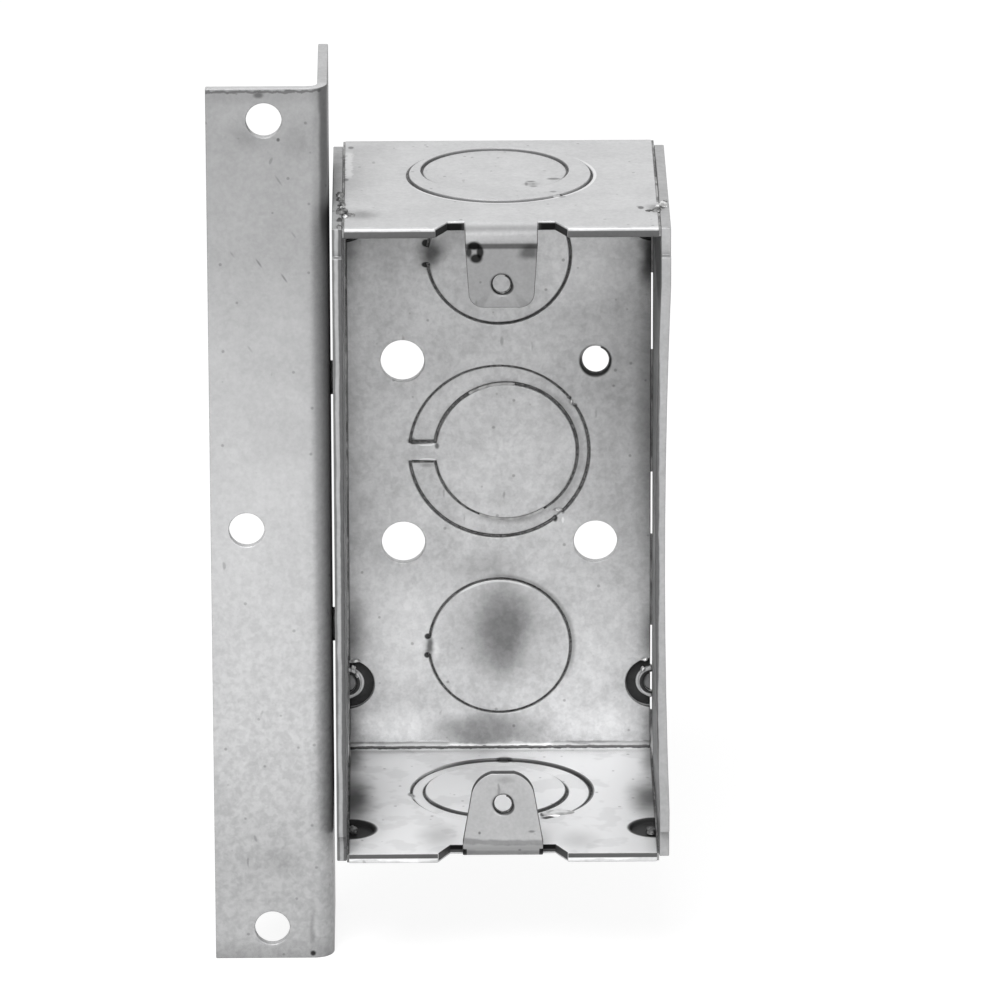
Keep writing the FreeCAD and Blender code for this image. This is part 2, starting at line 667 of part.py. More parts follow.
# Angle bracket on the left, folded from one strip.
bracket = new_body("angle_bracket")
bracket_sheet = size("bracket_sheet")
bracket_right = half_width + size("bracket_gap")
bracket_left = bracket_right + size("bracket_face")
face = depth - size("bracket_setback")
bend_outside = size("bracket_bend_inside") + bracket_sheet
bracket_section = new_sketch(bracket, "bracket_section", "XY_Plane", -(size("bracket_height") / 2))
outline(bracket_section, [
    (-bracket_left, -face),
    (-(bracket_right + bend_outside), -face),
    (-bracket_right, -(face - bend_outside), bend_outside, "left"),
    (-bracket_right, -(face - size("bracket_side"))),
    (-(bracket_right + bracket_sheet), -(face - size("bracket_side"))),
    (-(bracket_right + bracket_sheet), -(face - bend_outside)),
    (-(bracket_right + bend_outside), -(face - bracket_sheet), size("bracket_bend_inside"), "right"),
    (-bracket_left, -(face - bracket_sheet)),
])
pad(bracket, "bracket_legs", bracket_section, size("bracket_height"))

end_hole = bracket_left - size("bracket_end_hole_edge")
mid_hole = bracket_left - size("bracket_mid_hole_edge")
hole_level = size("bracket_height") / 2 - size("bracket_hole_from_end")
bracket_holes = new_sketch(bracket, "bracket_hole_circles", "XZ_Plane", face)
circle(bracket_holes, -end_hole, hole_level, size("bracket_hole"))
circle(bracket_holes, -end_hole, -hole_level, size("bracket_hole"))
circle(bracket_holes, -mid_hole, 0, size("bracket_hole"))
pocket(bracket, "bracket_holes", bracket_holes, bracket_sheet)

button_line = face - size("button_from_face")
buttons = new_sketch(bracket, "button_circles", "YZ_Plane", -bracket_right)
hollows = new_sketch(bracket, "button_hollow_circles", "YZ_Plane",
                     -(bracket_right + bracket_sheet - size("bracket_gap")))
for level in (size("button_z"), -size("button_z")):
    circle(buttons, -button_line, level, size("button_radius") * 2)
    circle(hollows, -button_line, level, (size("button_radius") - size("button_wall")) * 2)
pad(bracket, "buttons", buttons, size("bracket_gap"))
pocket(bracket, "button_hollows", hollows, size("bracket_gap"))

doc.recompute()
for item in doc.Objects:
    if "Invalid" in item.State or "Error" in item.State:
        raise RuntimeError("%s is %s" % (item.Name, item.State))
for piece in (body, left, right, bracket):
    if piece.Shape.isNull() or not piece.Shape.isValid():
        raise RuntimeError("%s has no sound shape" % piece.Label)
    if len(piece.Shape.Solids) != 1:
        raise RuntimeError("%s has %d solids" % (piece.Label, len(piece.Shape.Solids)))
    piece.Shape.exportStep("parts/%s.step" % piece.Label)
    print(piece.Label, "volume %.1f" % piece.Shape.Volume, piece.Shape.BoundBox)
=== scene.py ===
"""Dresses the welded steel handy box: galvanised zinc, weld marks, burrs, edges, lights and camera."""

import math
import random

import bmesh
import bpy
from bpy.props import FloatProperty, FloatVectorProperty, PointerProperty
from bpy.types import Operator, Panel, PropertyGroup
from mathutils import Matrix, Vector, noise


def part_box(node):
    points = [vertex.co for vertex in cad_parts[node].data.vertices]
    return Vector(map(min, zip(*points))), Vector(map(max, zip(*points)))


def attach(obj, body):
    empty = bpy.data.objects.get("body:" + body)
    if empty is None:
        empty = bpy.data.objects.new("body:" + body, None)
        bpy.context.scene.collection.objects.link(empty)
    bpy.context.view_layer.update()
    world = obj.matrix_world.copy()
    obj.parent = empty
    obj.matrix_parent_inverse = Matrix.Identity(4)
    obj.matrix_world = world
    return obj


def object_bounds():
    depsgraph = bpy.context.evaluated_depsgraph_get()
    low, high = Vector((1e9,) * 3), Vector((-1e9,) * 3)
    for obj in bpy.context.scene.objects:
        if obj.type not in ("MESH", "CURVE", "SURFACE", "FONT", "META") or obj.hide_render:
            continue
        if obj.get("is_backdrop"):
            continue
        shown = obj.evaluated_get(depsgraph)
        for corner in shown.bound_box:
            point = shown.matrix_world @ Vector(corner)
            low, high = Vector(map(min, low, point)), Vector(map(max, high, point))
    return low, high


bl_info = {
    "name": "Handy Box",
    "version": (1, 0, 0),
    "blender": (4, 5, 0),
    "location": "View3D > Sidebar > Handy Box",
    "description": "Dresses a welded steel handy box and its fixing bracket in galvanised zinc",
    "category": "Add Mesh",
}

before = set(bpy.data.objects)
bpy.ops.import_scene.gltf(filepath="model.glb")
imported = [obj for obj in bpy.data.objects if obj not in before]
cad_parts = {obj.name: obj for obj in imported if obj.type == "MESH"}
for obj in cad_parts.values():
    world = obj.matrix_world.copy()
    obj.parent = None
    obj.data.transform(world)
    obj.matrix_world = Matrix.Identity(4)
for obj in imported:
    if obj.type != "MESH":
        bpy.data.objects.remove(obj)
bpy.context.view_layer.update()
BODY = "root"
MM = 0.001

# Levels of the steel box, read from the frame. X runs right, Y to the back, Z up.
LEFT_LOW, LEFT_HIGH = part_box("left_plate")
RIGHT_LOW, RIGHT_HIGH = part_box("right_plate")
BODY_LOW, BODY_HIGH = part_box("folded_body")
BRACKET_LOW, BRACKET_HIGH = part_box("angle_bracket")
HALF_HEIGHT = LEFT_HIGH.z
SHEET = LEFT_HIGH.x - LEFT_LOW.x
PLATE_INSIDE = -LEFT_HIGH.x
FRONT = BODY_LOW.y
BACK_FACE = -SHEET
FLOOR_FACE = SHEET - HALF_HEIGHT


def length(name, description, millimetres):
    return FloatProperty(name=name, description=description, subtype="DISTANCE", unit="LENGTH",
                         default=millimetres * MM)


def tint(name, description, grey):
    return FloatVectorProperty(name=name, description=description, subtype="COLOR", size=3,
                               min=0.0, max=1.0, default=grey)


def share(name, description, default):
    return FloatProperty(name=name, description=description, subtype="FACTOR", min=0.0, max=1.0,
                         default=default)


class ZincSettings(PropertyGroup):
    """The galvanised coat that covers every piece."""

    dark: tint("Dull zinc", "Colour of the duller patches of the coat", (0.40, 0.402, 0.407))
    light: tint("Clean zinc", "Colour of the cleaner patches of the coat", (0.86, 0.862, 0.868))
    metal: share("Metal share", "How far the coat reflects as bare metal instead of as oxide", 0.3)
    roughness: share("Roughness", "How blurred the coat's reflections are", 0.42)
    patch: length("Patch size", "Width of the cloudy patches in the coat", 7.0)
    crystal: length("Crystal size", "Width of the zinc crystals", 1.1)
    grain: length("Grain size", "Width of the finest grain", 0.5)
    pit: length("Pit spacing", "Distance between the dark pits in the coat", 2.6)
    dash: length("Scratch spacing", "Distance between the short scratches", 2.4)
    rounding: length("Edge rounding", "Radius left on the sheared edges", 0.16)


class KnockoutSettings(PropertyGroup):
    """Places of the sheared lines round the knockouts, and of the burrs that close them."""

    slit: length("Slit", "Width of the sheared line", 0.36)
    small: length("Half inch knockout", "Diameter over the sheared line", 22.6)
    large: length("Three quarter inch knockout", "Diameter over the sheared line", 28.4)
    from_end: length("Single knockouts", "Middle from the outside of the nearer end wall", 18.7)
    from_middle: length("Side knockouts", "Middle from the middle of the right plate", 22.0)
    disc_right: length("Back disc", "How far the inner disc on the back lies right of its ring", 1.05)
    bridge: length("Bridge", "Width of the bridge to the inner disc on the back", 2.9)
    from_front: length("End knockouts", "Middle behind the front edge", 27.3)
    ring_rise: length("Ring rise", "How far the end rings stand out of the wall", 0.3)
    web: length("Web", "Thickness of the torn metal left in a sheared line", 0.6)
    seam: length("Seam", "Open seam between the folded body and a side plate", 0.3)


class WeldSettings(PropertyGroup):
    """The weld wells and beads between the body and the side plates."""

    well: length("Well", "Radius of the half round well at a weld", 3.9)
    core: length("Core", "Radius of the button of weld metal in a well", 1.75)
    from_end: length("Back welds", "Middle from the outside of the nearer end wall", 12.4)
    from_front: length("End welds", "Middle behind the front edge", 10.8)


class StageSettings(PropertyGroup):
    """The camera, the floor and the lamps."""

    distance: FloatProperty(
        name="Camera distance", description="From the camera to the point it looks at",
        subtype="DISTANCE", unit="LENGTH", default=1.49706)
    azimuth: FloatProperty(
        name="Camera azimuth", description="Angle of the camera round the box, from straight in front",
        subtype="ANGLE", unit="ROTATION", default=math.radians(-0.523))
    elevation: FloatProperty(
        name="Camera elevation", description="Angle of the camera above the box",
        subtype="ANGLE", unit="ROTATION", default=math.radians(18.957))
    roll: FloatProperty(
        name="Camera roll", description="Turn of the camera about its own axis",
        subtype="ANGLE", unit="ROTATION", default=math.radians(-0.163))
    aim: FloatVectorProperty(
        name="Camera aim", description="The point that the camera looks at",
        subtype="XYZ", unit="LENGTH", size=3, default=(-0.00011, -0.0236, -0.000378))
    lens: FloatProperty(
        name="Lens", description="Focal length in millimetres, on a 36 mm sensor",
        subtype="DISTANCE_CAMERA", default=350.8)
    key_power: FloatProperty(
        name="Key lamp", description="Power of the large soft lamp above the front",
        subtype="POWER", default=26.0)
    fill_power: FloatProperty(
        name="Fill lamp", description="Power of the soft lamp low in front",
        subtype="POWER", default=12.0)
    ambient: FloatProperty(
        name="Room light", description="Strength of the light from all round", min=0.0, default=0.4)


class Finish:
    """A node material that is put together one step at a time. Places and reaches are in millimetres."""

    def __init__(self, name):
        self.material = bpy.data.materials.new(name)
        self.material.use_nodes = True
        self.tree = self.material.node_tree
        self.shader = self.tree.nodes["Principled BSDF"]
        place = self.add("ShaderNodeTexCoord", "Place on the part")
        self.place = place.outputs["Object"]
        self.facing = place.outputs["Normal"]
        self.shade = 1.0

    def add(self, kind, label, inputs=None, **settings):
        node = self.tree.nodes.new(kind)
        node.label = label
        for name, value in settings.items():
            setattr(node, name, value)
        for name, value in (inputs or {}).items():
            self.put(node.inputs[name], value)
        return node

    def put(self, socket, value):
        if isinstance(value, bpy.types.NodeSocket):
            self.tree.links.new(value, socket)
        else:
            socket.default_value = value

    def math(self, label, operation, *values, clamp=False):
        node = self.add("ShaderNodeMath", label, operation=operation, use_clamp=clamp)
        for socket, value in zip(node.inputs, values):
            self.put(socket, value)
        return node.outputs[0]

    def vector(self, label, operation, *values):
        node = self.add("ShaderNodeVectorMath", label, operation=operation)
        for socket, value in zip(node.inputs, values):
            self.put(socket, value)
        return node.outputs["Value" if operation in ("LENGTH", "DOT_PRODUCT") else "Vector"]

    def parts(self, label, vector):
        split = self.add("ShaderNodeSeparateXYZ", label, {"Vector": vector})
        return split.outputs["X"], split.outputs["Y"], split.outputs["Z"]

    def ramp(self, label, value, low, high, to_low=0.0, to_high=1.0):
        """Maps low..high of a value smoothly to to_low..to_high."""
        node = self.add("ShaderNodeMapRange", label, interpolation_type="SMOOTHSTEP", inputs={
            "Value": value, "From Min": low, "From Max": high, "To Min": to_low, "To Max": to_high})
        return node.outputs["Result"]

    def level(self, label, value, low, high, to_low=0.0, to_high=1.0):
        """The same for a level in millimetres."""
        return self.ramp(label, value, low * MM, high * MM, to_low, to_high)

    def cloud(self, label, width, detail=2.0, rough=0.5, place=None, twist=0.0):
        return self.add("ShaderNodeTexNoise", label, {
            "Vector": place or self.place, "Scale": 1.0 / width, "Detail": detail,
            "Roughness": rough, "Distortion": twist})

    def cells(self, label, width, place=None):
        node = self.add("ShaderNodeTexVoronoi", label, {"Vector": place or self.place, "Scale": 1.0 / width})
        return node.outputs["Distance"], node.outputs["Color"]

    def mix(self, label, factor, first, second, blend="MIX"):
        node = self.add("ShaderNodeMix", label, data_type="RGBA", blend_type=blend)
        for socket, value in ((node.inputs["Factor"], factor), (node.inputs[6], first), (node.inputs[7], second)):
            self.put(socket, value)
        return node.outputs[2]

    def band(self, label, value, low, high, soft):
        """One between two levels in millimetres, with soft ends."""
        rise = self.level(label + " begins", value, low - soft, low + soft)
        fall = self.level(label + " ends", value, high - soft, high + soft, 1.0, 0.0)
        return self.math(label, "MULTIPLY", rise, fall)

    def all_of(self, label, *masks):
        product = masks[0]
        for mask in masks[1:]:
            product = self.math(label, "MULTIPLY", product, mask)
        return product

    def distance(self, label, centre, reach, place=None):
        """Distance from a centre as a share of the reach. A reach of nought leaves that axis out."""
        scale = [1.0 / (part * MM) if part else 0.0 for part in reach]
        shift = [-part * MM * size for part, size in zip(centre, scale)]
        offset = self.vector(label, "MULTIPLY_ADD", place or self.place, scale, shift)
        return offset, self.vector(label + " distance", "LENGTH", offset)

    def darken(self, label, mask, amount):
        """Takes a share of the light off the coat where the mask is one."""
        kept = self.ramp(label + " kept", mask, 0.0, 1.0, 1.0, 1.0 - amount)
        self.shade = self.math(label, "MULTIPLY", self.shade, kept)

    def corners(self, reach, amount):
        """Painted shade where the metal closes in on itself."""
        hidden = self.add("ShaderNodeAmbientOcclusion", "Closed corners", {"Distance": reach * MM}, samples=2)
        self.darken("Painted corner shade", self.ramp("Depth of the corner", hidden.outputs["AO"], 0.25, 0.9, 1.0, 0.0), amount)


def grey_of(values):
    return (values[0], values[1], values[2], 1.0)


class Zinc(Finish):
    """Galvanised coat: cloudy patches, crystals, fine grain, dark pits, scratches and stains, with painted shade and
    painted light laid on by the finishes.
    """

    def __init__(self, name, zinc):
        super().__init__(name)
        self.zinc = zinc
        self.x, self.y, self.z = self.parts("Right, back, up", self.place)
        self.across, self.along, self.upward = self.parts("Facing", self.facing)
        self.grain = self.cloud("Fine grain", zinc.grain, 2.0, 0.6).outputs["Fac"]
        patches = self.cloud("Cloudy patches", zinc.patch, 3.0, 0.6)
        self.patches = patches.outputs["Fac"]
        drift = self.vector("Drift", "MULTIPLY_ADD", patches.outputs["Color"], (3.0 * MM,) * 3, (-1.5 * MM,) * 3)
        self.uneven = self.vector("Uneven place", "ADD", self.place, drift)
        self.crystals = self.cloud("Crystals", zinc.crystal, 2.0, 0.6, twist=0.3).outputs["Fac"]
        self.lightness = 0.47

    def vary(self, label, pattern, low, high, amount):
        """Adds a pattern to the lightness, up to an amount either way."""
        swing = self.ramp(label + " swing", pattern, low, high, -1.0, 1.0)
        if isinstance(amount, float):
            self.lightness = self.math(label, "MULTIPLY_ADD", swing, amount, self.lightness)
        else:
            self.lightness = self.math(label, "ADD", self.math(label + " share", "MULTIPLY", swing, amount),
                                       self.lightness)

    def clean(self, label, centre, reach, amount, inner=0.0, place=None):
        """Lightens the coat round a centre: a cleaner coat in some places, painted light in others."""
        near = self.distance(label, centre, reach, place or self.uneven)[1]
        gain = self.ramp(label + " gain", near, inner, 1.0, amount, 0.0)
        self.lightness = self.math(label + " added", "ADD", self.lightness, gain)

    def stain_and_shade(self, label, centre, reach, amount, inner=0.0, place=None):
        """Darkens the coat round a centre by a share: marks and dirt in some places, painted shade in others."""
        near = self.distance(label, centre, reach, place or self.uneven)[1]
        kept = self.ramp(label + " kept", near, inner, 1.0, 1.0 - amount, 1.0)
        self.shade = self.math(label, "MULTIPLY", self.shade, kept)

    def groove(self, label, centre, flat, radius, towards, amount, width, where, soft=0.12, arc=(-0.35, 0.5)):
        """Painted shade in a round sheared line, thickest on the side it lies towards. Below nought it is a painted
        highlight instead.
        """
        offset, away = self.distance(label, centre, flat)
        line = self.band(label + " line", self.math(label + " radius", "MULTIPLY", away, MM),
                         radius - width, radius + width, soft)
        lean = self.vector(label + " lean", "DOT_PRODUCT", offset, towards)
        side = self.ramp(label + " side", lean, arc[0] * radius, arc[1] * radius)
        mask = self.all_of(label + " mask", line, side, where)
        if amount > 0.0:
            self.darken(label, mask, amount)
        else:
            self.lightness = self.math(label + " rubbed_and_highlit", "MULTIPLY_ADD", mask, -amount, self.lightness)

    def marks(self, strength):
        """Dark pits and short leaning scratches."""
        zinc = self.zinc
        pits, pit_kind = self.cells("Pits", zinc.pit)
        few = self.ramp("Few of the pits", self.parts("Pit kind", pit_kind)[0], 0.62, 0.66)
        self.pits = self.all_of("Dark pits", self.ramp("Pit shape", pits, 0.05, 0.14, 1.0, 0.0), few)
        self.darken("Pits in the coat", self.pits, 0.35 * strength)
        leaning = self.add("ShaderNodeMapping", "Leaning scratches", {
            "Vector": self.uneven, "Rotation": (0.3, math.radians(24.0), 0.0), "Scale": (1.0, 1.0, 0.3)})
        dashes, dash_kind = self.cells("Dashes", zinc.dash, leaning.outputs["Vector"])
        seldom = self.ramp("Few of the dashes", self.parts("Dash kind", dash_kind)[1], 0.72, 0.76)
        self.dashes = self.all_of("Short scratches", self.ramp("Dash shape", dashes, 0.05, 0.15, 1.0, 0.0), seldom)
        self.darken("Scratches in the coat", self.dashes, 0.3 * strength)

    def finish(self):
        zinc = self.zinc
        lightness = self.math("Lightness", "MULTIPLY", self.lightness, 1.0, clamp=True)
        coat = self.mix("Coat", lightness, grey_of(zinc.dark), grey_of(zinc.light))
        self.put(self.shader.inputs["Base Color"], self.mix("Stained coat", 1.0, coat, self.shade, "MULTIPLY"))
        self.put(self.shader.inputs["Metallic"], zinc.metal)
        rough = self.ramp("Rough where dull", lightness, 0.0, 1.0, zinc.roughness + 0.08, zinc.roughness - 0.08)
        self.put(self.shader.inputs["Roughness"], rough)
        self.put(self.shader.inputs["Specular IOR Level"], self.math("Gloss", "MULTIPLY", self.shade, 0.5))
        height = self.math("Height of the coat", "SUBTRACT", self.grain, self.pits)
        bump = self.add("ShaderNodeBump", "Coat height", {
            "Height": height, "Strength": 0.15, "Distance": 0.05 * MM})
        self.put(self.shader.inputs["Normal"], bump.outputs["Normal"])
        return self.material


# Stains, lighter patches, painted shade and painted light of the folded body: a label, the centre, the reach along
# each axis, the share of the light it takes, and the share of the reach over which it is at its full strength.
BACK_STAINS_AND_SHADE = (
    ("Dark patch on the lower knockout", (0.5, BACK_FACE / MM, -30.0), (10.0, 6.0, 13.5), 0.42, 0.05),
    ("Middle of that dark patch", (0.6, BACK_FACE / MM, -29.5), (6.2, 6.0, 11.0), 0.44, 0.12),
    ("Below the lower knockout", (-1.5, BACK_FACE / MM, -46.2), (13.0, 6.0, 4.2), 0.52, 0.2),
    ("Above the lower knockout", (-3.0, BACK_FACE / MM, -19.0), (8.0, 6.0, 3.4), 0.24, 0.0),
    # Painted shade under the top wall.
    ("Under the top wall, left", (-15.0, BACK_FACE / MM, 40.0), (14.0, 6.0, 14.0), 0.22, 0.2),
    ("Smear at the upper tie", (-10.4, BACK_FACE / MM, 32.4), (3.0, 5.0, 3.8), 0.76, 0.15),
    ("Smear at the lower tie", (-11.2, BACK_FACE / MM, -32.1), (1.0, 5.0, 2.0), 0.75, 0.2),
    # Painted shade in the two upper corners and down the right edge of the back.
    ("Dark corner, upper right", (23.5, BACK_FACE / MM, 32.0), (2.9, 5.0, 7.5), 0.85, 0.25),
    ("Dark corner, upper left", (-23.8, BACK_FACE / MM, 36.5), (4.2, 5.0, 11.0), 0.62, 0.1),
    ("Right edge of the back", (23.9, BACK_FACE / MM, 3.0), (4.4, 4.0, 34.0), 0.42, 0.0),
    ("Above the left weld", (-23.8, BACK_FACE / MM, -30.0), (3.8, 4.0, 9.0), 0.6, 0.1),
    ("Above the right weld", (23.8, BACK_FACE / MM, -30.0), (2.8, 4.0, 6.0), 0.45, 0.1),
    # Painted shade in the two lower corners.
    ("Dark corner, lower left", (-24.0, BACK_FACE / MM, -46.0), (3.6, 4.0, 7.5), 0.55, 0.1),
    ("Dark corner, lower right", (24.0, BACK_FACE / MM, -46.0), (2.6, 4.0, 6.0), 0.4, 0.1),
)
FLOOR_STAINS_AND_SHADE = (
    ("Darker by the left end weld", (-22.9, -24.0, FLOOR_FACE / MM), (4.6, 15.0, 2.5), 0.82, 0.1),
    ("Darker by the right end weld", (22.9, -24.0, FLOOR_FACE / MM), (4.6, 12.0, 2.5), 0.74, 0.1),
    # Painted shade in the back corners of the bottom wall.
    ("Back left corner", (-23.6, -5.0, FLOOR_FACE / MM), (3.4, 9.0, 2.5), 0.6, 0.1),
    ("Back right corner", (23.6, -6.0, FLOOR_FACE / MM), (2.4, 12.0, 2.5), 0.45, 0.1),
    ("Cloud before the left of the ring", (-9.8, -40.0, FLOOR_FACE / MM), (4.4, 8.0, 2.5), 0.34, 0.0),
    ("Cloud before the right of the ring", (12.0, -42.0, FLOOR_FACE / MM), (4.4, 7.0, 2.5), 0.26, 0.0),
)
TOP_STAINS_AND_SHADE = (
    ("Streak by the left end weld", (-21.0, -40.2, 50.8), (3.2, 4.2, 2.0), 0.42, 0.1),
    ("Ground round the right end weld", (23.0, -37.6, 50.8), (1.8, 2.6, 2.0), 0.4, 0.2),
    ("Torn mark on the top disc", (5.0, -25.0, 50.8), (1.6, 1.8, 2.0), 0.34, 0.2),
    # Painted shade on the back edge of the top wall, where it bends down away from the light.
    ("Back edge of the top wall", (0.0, 0.0, 50.8), (0.0, 2.6, 3.0), 0.16, 0.4),
)
EAR_STAINS = (
    ("Tool mark right of the top ear", (4.0, -46.6, 47.0), (2.0, 3.0, 1.8), 0.6, 0.3),
    ("Rubbed tip of the bottom ear", (0.3, -46.6, -37.8), (2.1, 3.0, 0.9), 0.22, 0.2),
)
# The same, with sharp outlines.
TEARS = (
    ("Upper end of the upper tie", (-11.3, BACK_FACE / MM, 34.1), (0.75, 5.0, 0.75), 0.9, 0.6),
    ("Lower end of the upper tie", (-11.3, BACK_FACE / MM, 30.6), (0.8, 5.0, 0.55), 0.9, 0.6),
    ("Upper end of the lower tie", (-11.3, BACK_FACE / MM, -30.5), (0.6, 5.0, 0.6), 0.9, 0.6),
    ("Lower end of the lower tie", (-11.4, BACK_FACE / MM, -33.6), (0.6, 5.0, 0.6), 0.9, 0.6),
    ("Tie at the back of the bottom ring", (0.6, -6.3, FLOOR_FACE / MM), (1.6, 1.2, 2.0), 0.7, 0.6),
    ("Tie at the left of the bottom ring", (-14.0, -21.8, FLOOR_FACE / MM), (0.7, 1.2, 2.0), 0.6, 0.5),
    ("Left end weld", (-23.6, -36.8, FLOOR_FACE / MM), (4.6, 4.6, 3.5), 0.93, 0.9),
    ("Right end weld", (23.6, -36.8, FLOOR_FACE / MM), (4.6, 4.6, 3.5), 0.92, 0.9),
    ("Lower end of the ring's upper tie", (11.8, BACK_FACE / MM, 7.5), (0.5, 5.0, 0.5), 0.8, 0.4),
    ("Upper end of the ring's upper tie", (10.9, BACK_FACE / MM, 8.8), (0.5, 5.0, 0.5), 0.8, 0.4),
    ("Upper end of the ring's lower tie", (9.9, BACK_FACE / MM, -10.0), (0.4, 5.0, 0.4), 0.5, 0.4),
    ("Lower end of the ring's lower tie", (8.7, BACK_FACE / MM, -11.1), (0.5, 5.0, 0.7), 0.85, 0.4),
    ("Left end of the upper bridge line", (-13.7, BACK_FACE / MM, 1.9), (0.9, 5.0, 0.6), 0.6, 0.3),
    ("Right end of the upper bridge line", (-9.7, BACK_FACE / MM, 1.0), (0.5, 5.0, 0.7), 0.7, 0.3),
    ("Shade under the bridge", (-11.2, BACK_FACE / MM, -2.3), (1.6, 5.0, 0.5), 0.35, 0.2),
    ("Upper dash on the top disc", (4.7, -23.7, 50.8), (1.0, 0.5, 2.0), 0.6, 0.3),
    ("Lower dash on the top disc", (5.1, -26.2, 50.8), (0.8, 0.6, 2.0), 0.5, 0.3),
    ("Left end of that tear", (4.0, -25.0, 50.8), (0.35, 1.4, 2.0), 0.45, 0.3),
    ("Torn dash on the top disc", (8.2, -22.4, 50.8), (1.4, 0.7, 2.0), 0.6, 0.4),
    ("Torn tie of the top ring", (8.0, -30.0, 50.8), (0.8, 0.6, 2.0), 0.5, 0.3),
    ("Lower end of that tie", (9.3, -31.6, 50.8), (0.8, 0.6, 2.0), 0.5, 0.3),
    ("Dot on the top wall", (-19.2, -13.5, 50.8), (0.35, 0.8, 2.0), 0.3, 0.3),
    ("Spatter by the right end weld", (21.1, -37.4, 50.8), (0.6, 1.0, 2.0), 0.7, 0.5),
    ("Notch of the top left seam", (-22.7, -5.6, 50.8), (0.6, 0.9, 2.0), 0.6, 0.4),
    ("Lower notch of that seam", (-23.4, -22.3, 50.8), (0.6, 0.9, 2.0), 0.6, 0.4),
    ("Tool mark, upper lobe", (-4.1, -46.6, 47.8), (1.3, 3.0, 0.85), 0.92, 0.5),
    ("Tool mark, left lobe", (-4.9, -46.6, 46.8), (0.65, 3.0, 1.2), 0.85, 0.4),
    ("Tool mark, right lobe", (-3.2, -46.6, 46.8), (0.7, 3.0, 1.3), 0.9, 0.5),
    ("Tool mark, lower lobe", (-3.8, -46.6, 45.8), (1.2, 3.0, 0.95), 0.92, 0.5),
    ("Lower side of the earth hole", (15.0, BACK_FACE / MM, 14.6), (2.65, 5.0, 2.65), 0.88, 0.86),
    ("Hook under the tongue", (7.3, -31.6, FLOOR_FACE / MM), (1.7, 0.8, 2.0), 0.9, 0.5),
    ("Upper end of that hook", (6.2, -30.2, FLOOR_FACE / MM), (0.5, 1.3, 2.0), 0.85, 0.4),
    ("Left fleck on the bottom ear", (-3.6, -46.6, -46.3), (0.3, 3.0, 0.35), 0.6, 0.3),
    ("Right fleck on the bottom ear", (4.4, -46.6, -46.1), (0.7, 3.0, 0.3), 0.5, 0.3),
    ("Lower lip of the bottom ear hole", (0.2, -46.6, -42.1), (1.7, 3.0, 1.5), 0.8, 0.85),
    ("Lower lip of the top ear hole", (0.2, -46.6, 41.3), (1.75, 3.0, 1.45), 0.8, 0.85),
)
CLEAN_AND_LIT_PATCHES = (
    ("Lighter coat left of the lower knockout", (-16.5, BACK_FACE / MM, -29.0), (9.5, 5.0, 15.0), 0.42, 0.1),
    ("Lighter coat right of the lower knockout", (17.0, BACK_FACE / MM, -31.0), (7.5, 5.0, 11.0), 0.2, 0.1),
    ("Lighter lower left corner of the back", (-16.0, BACK_FACE / MM, -45.5), (8.0, 5.0, 6.0), 0.42, 0.1),
    ("Lighter lower right corner of the back", (17.0, BACK_FACE / MM, -44.5), (7.0, 5.0, 6.0), 0.3, 0.1),
    ("Lighter middle of the back", (0.0, BACK_FACE / MM, 0.0), (16.0, 5.0, 14.0), 0.05, 0.3),
    # Painted light on the upper right of the back.
    ("Painted light on the upper right of the back", (13.0, BACK_FACE / MM, 32.0), (13.0, 5.0, 12.0), 0.36, 0.2),
    # Painted highlights on the burrs beside the lower tie.
    ("Burr left of the lower tie", (-12.9, BACK_FACE / MM, -31.6), (1.3, 5.0, 1.6), 0.25, 0.0),
    ("Burr right of the lower tie", (-10.0, BACK_FACE / MM, -33.0), (0.6, 5.0, 2.0), 0.3, 0.2),
    # Painted light over the inside of the bottom wall, and a painted highlight along the front edge of the top wall.
    ("Inside of the bottom wall", (0.0, 0.0, FLOOR_FACE / MM), (0.0, 0.0, 1.2), 0.7, 0.6),
    ("Front edge of the top wall", (0.0, FRONT / MM, 50.78), (0.0, 0.9, 0.45), 0.25, 0.6),
)
# The same, with sharp outlines: painted highlights on the torn lips at the bridge and at the ring's ties.
LIPS_AND_HIGHLIGHTS = (
    ("Upper lip of the bridge", (-11.4, BACK_FACE / MM, 1.3), (1.5, 5.0, 0.36), 1.0, 0.6),
    ("Lower lip of the bridge", (-11.2, BACK_FACE / MM, -1.3), (1.5, 5.0, 0.36), 1.0, 0.6),
    ("Lip of the ring's upper tie", (11.3, BACK_FACE / MM, 8.1), (0.4, 5.0, 0.5), 1.0, 0.3),
    ("Lip of the ring's lower tie", (9.1, BACK_FACE / MM, -9.9), (0.8, 5.0, 0.3), 1.0, 0.3),
    ("Lip below the ring's lower tie", (9.9, BACK_FACE / MM, -11.3), (0.3, 5.0, 0.7), 0.6, 0.3),
)


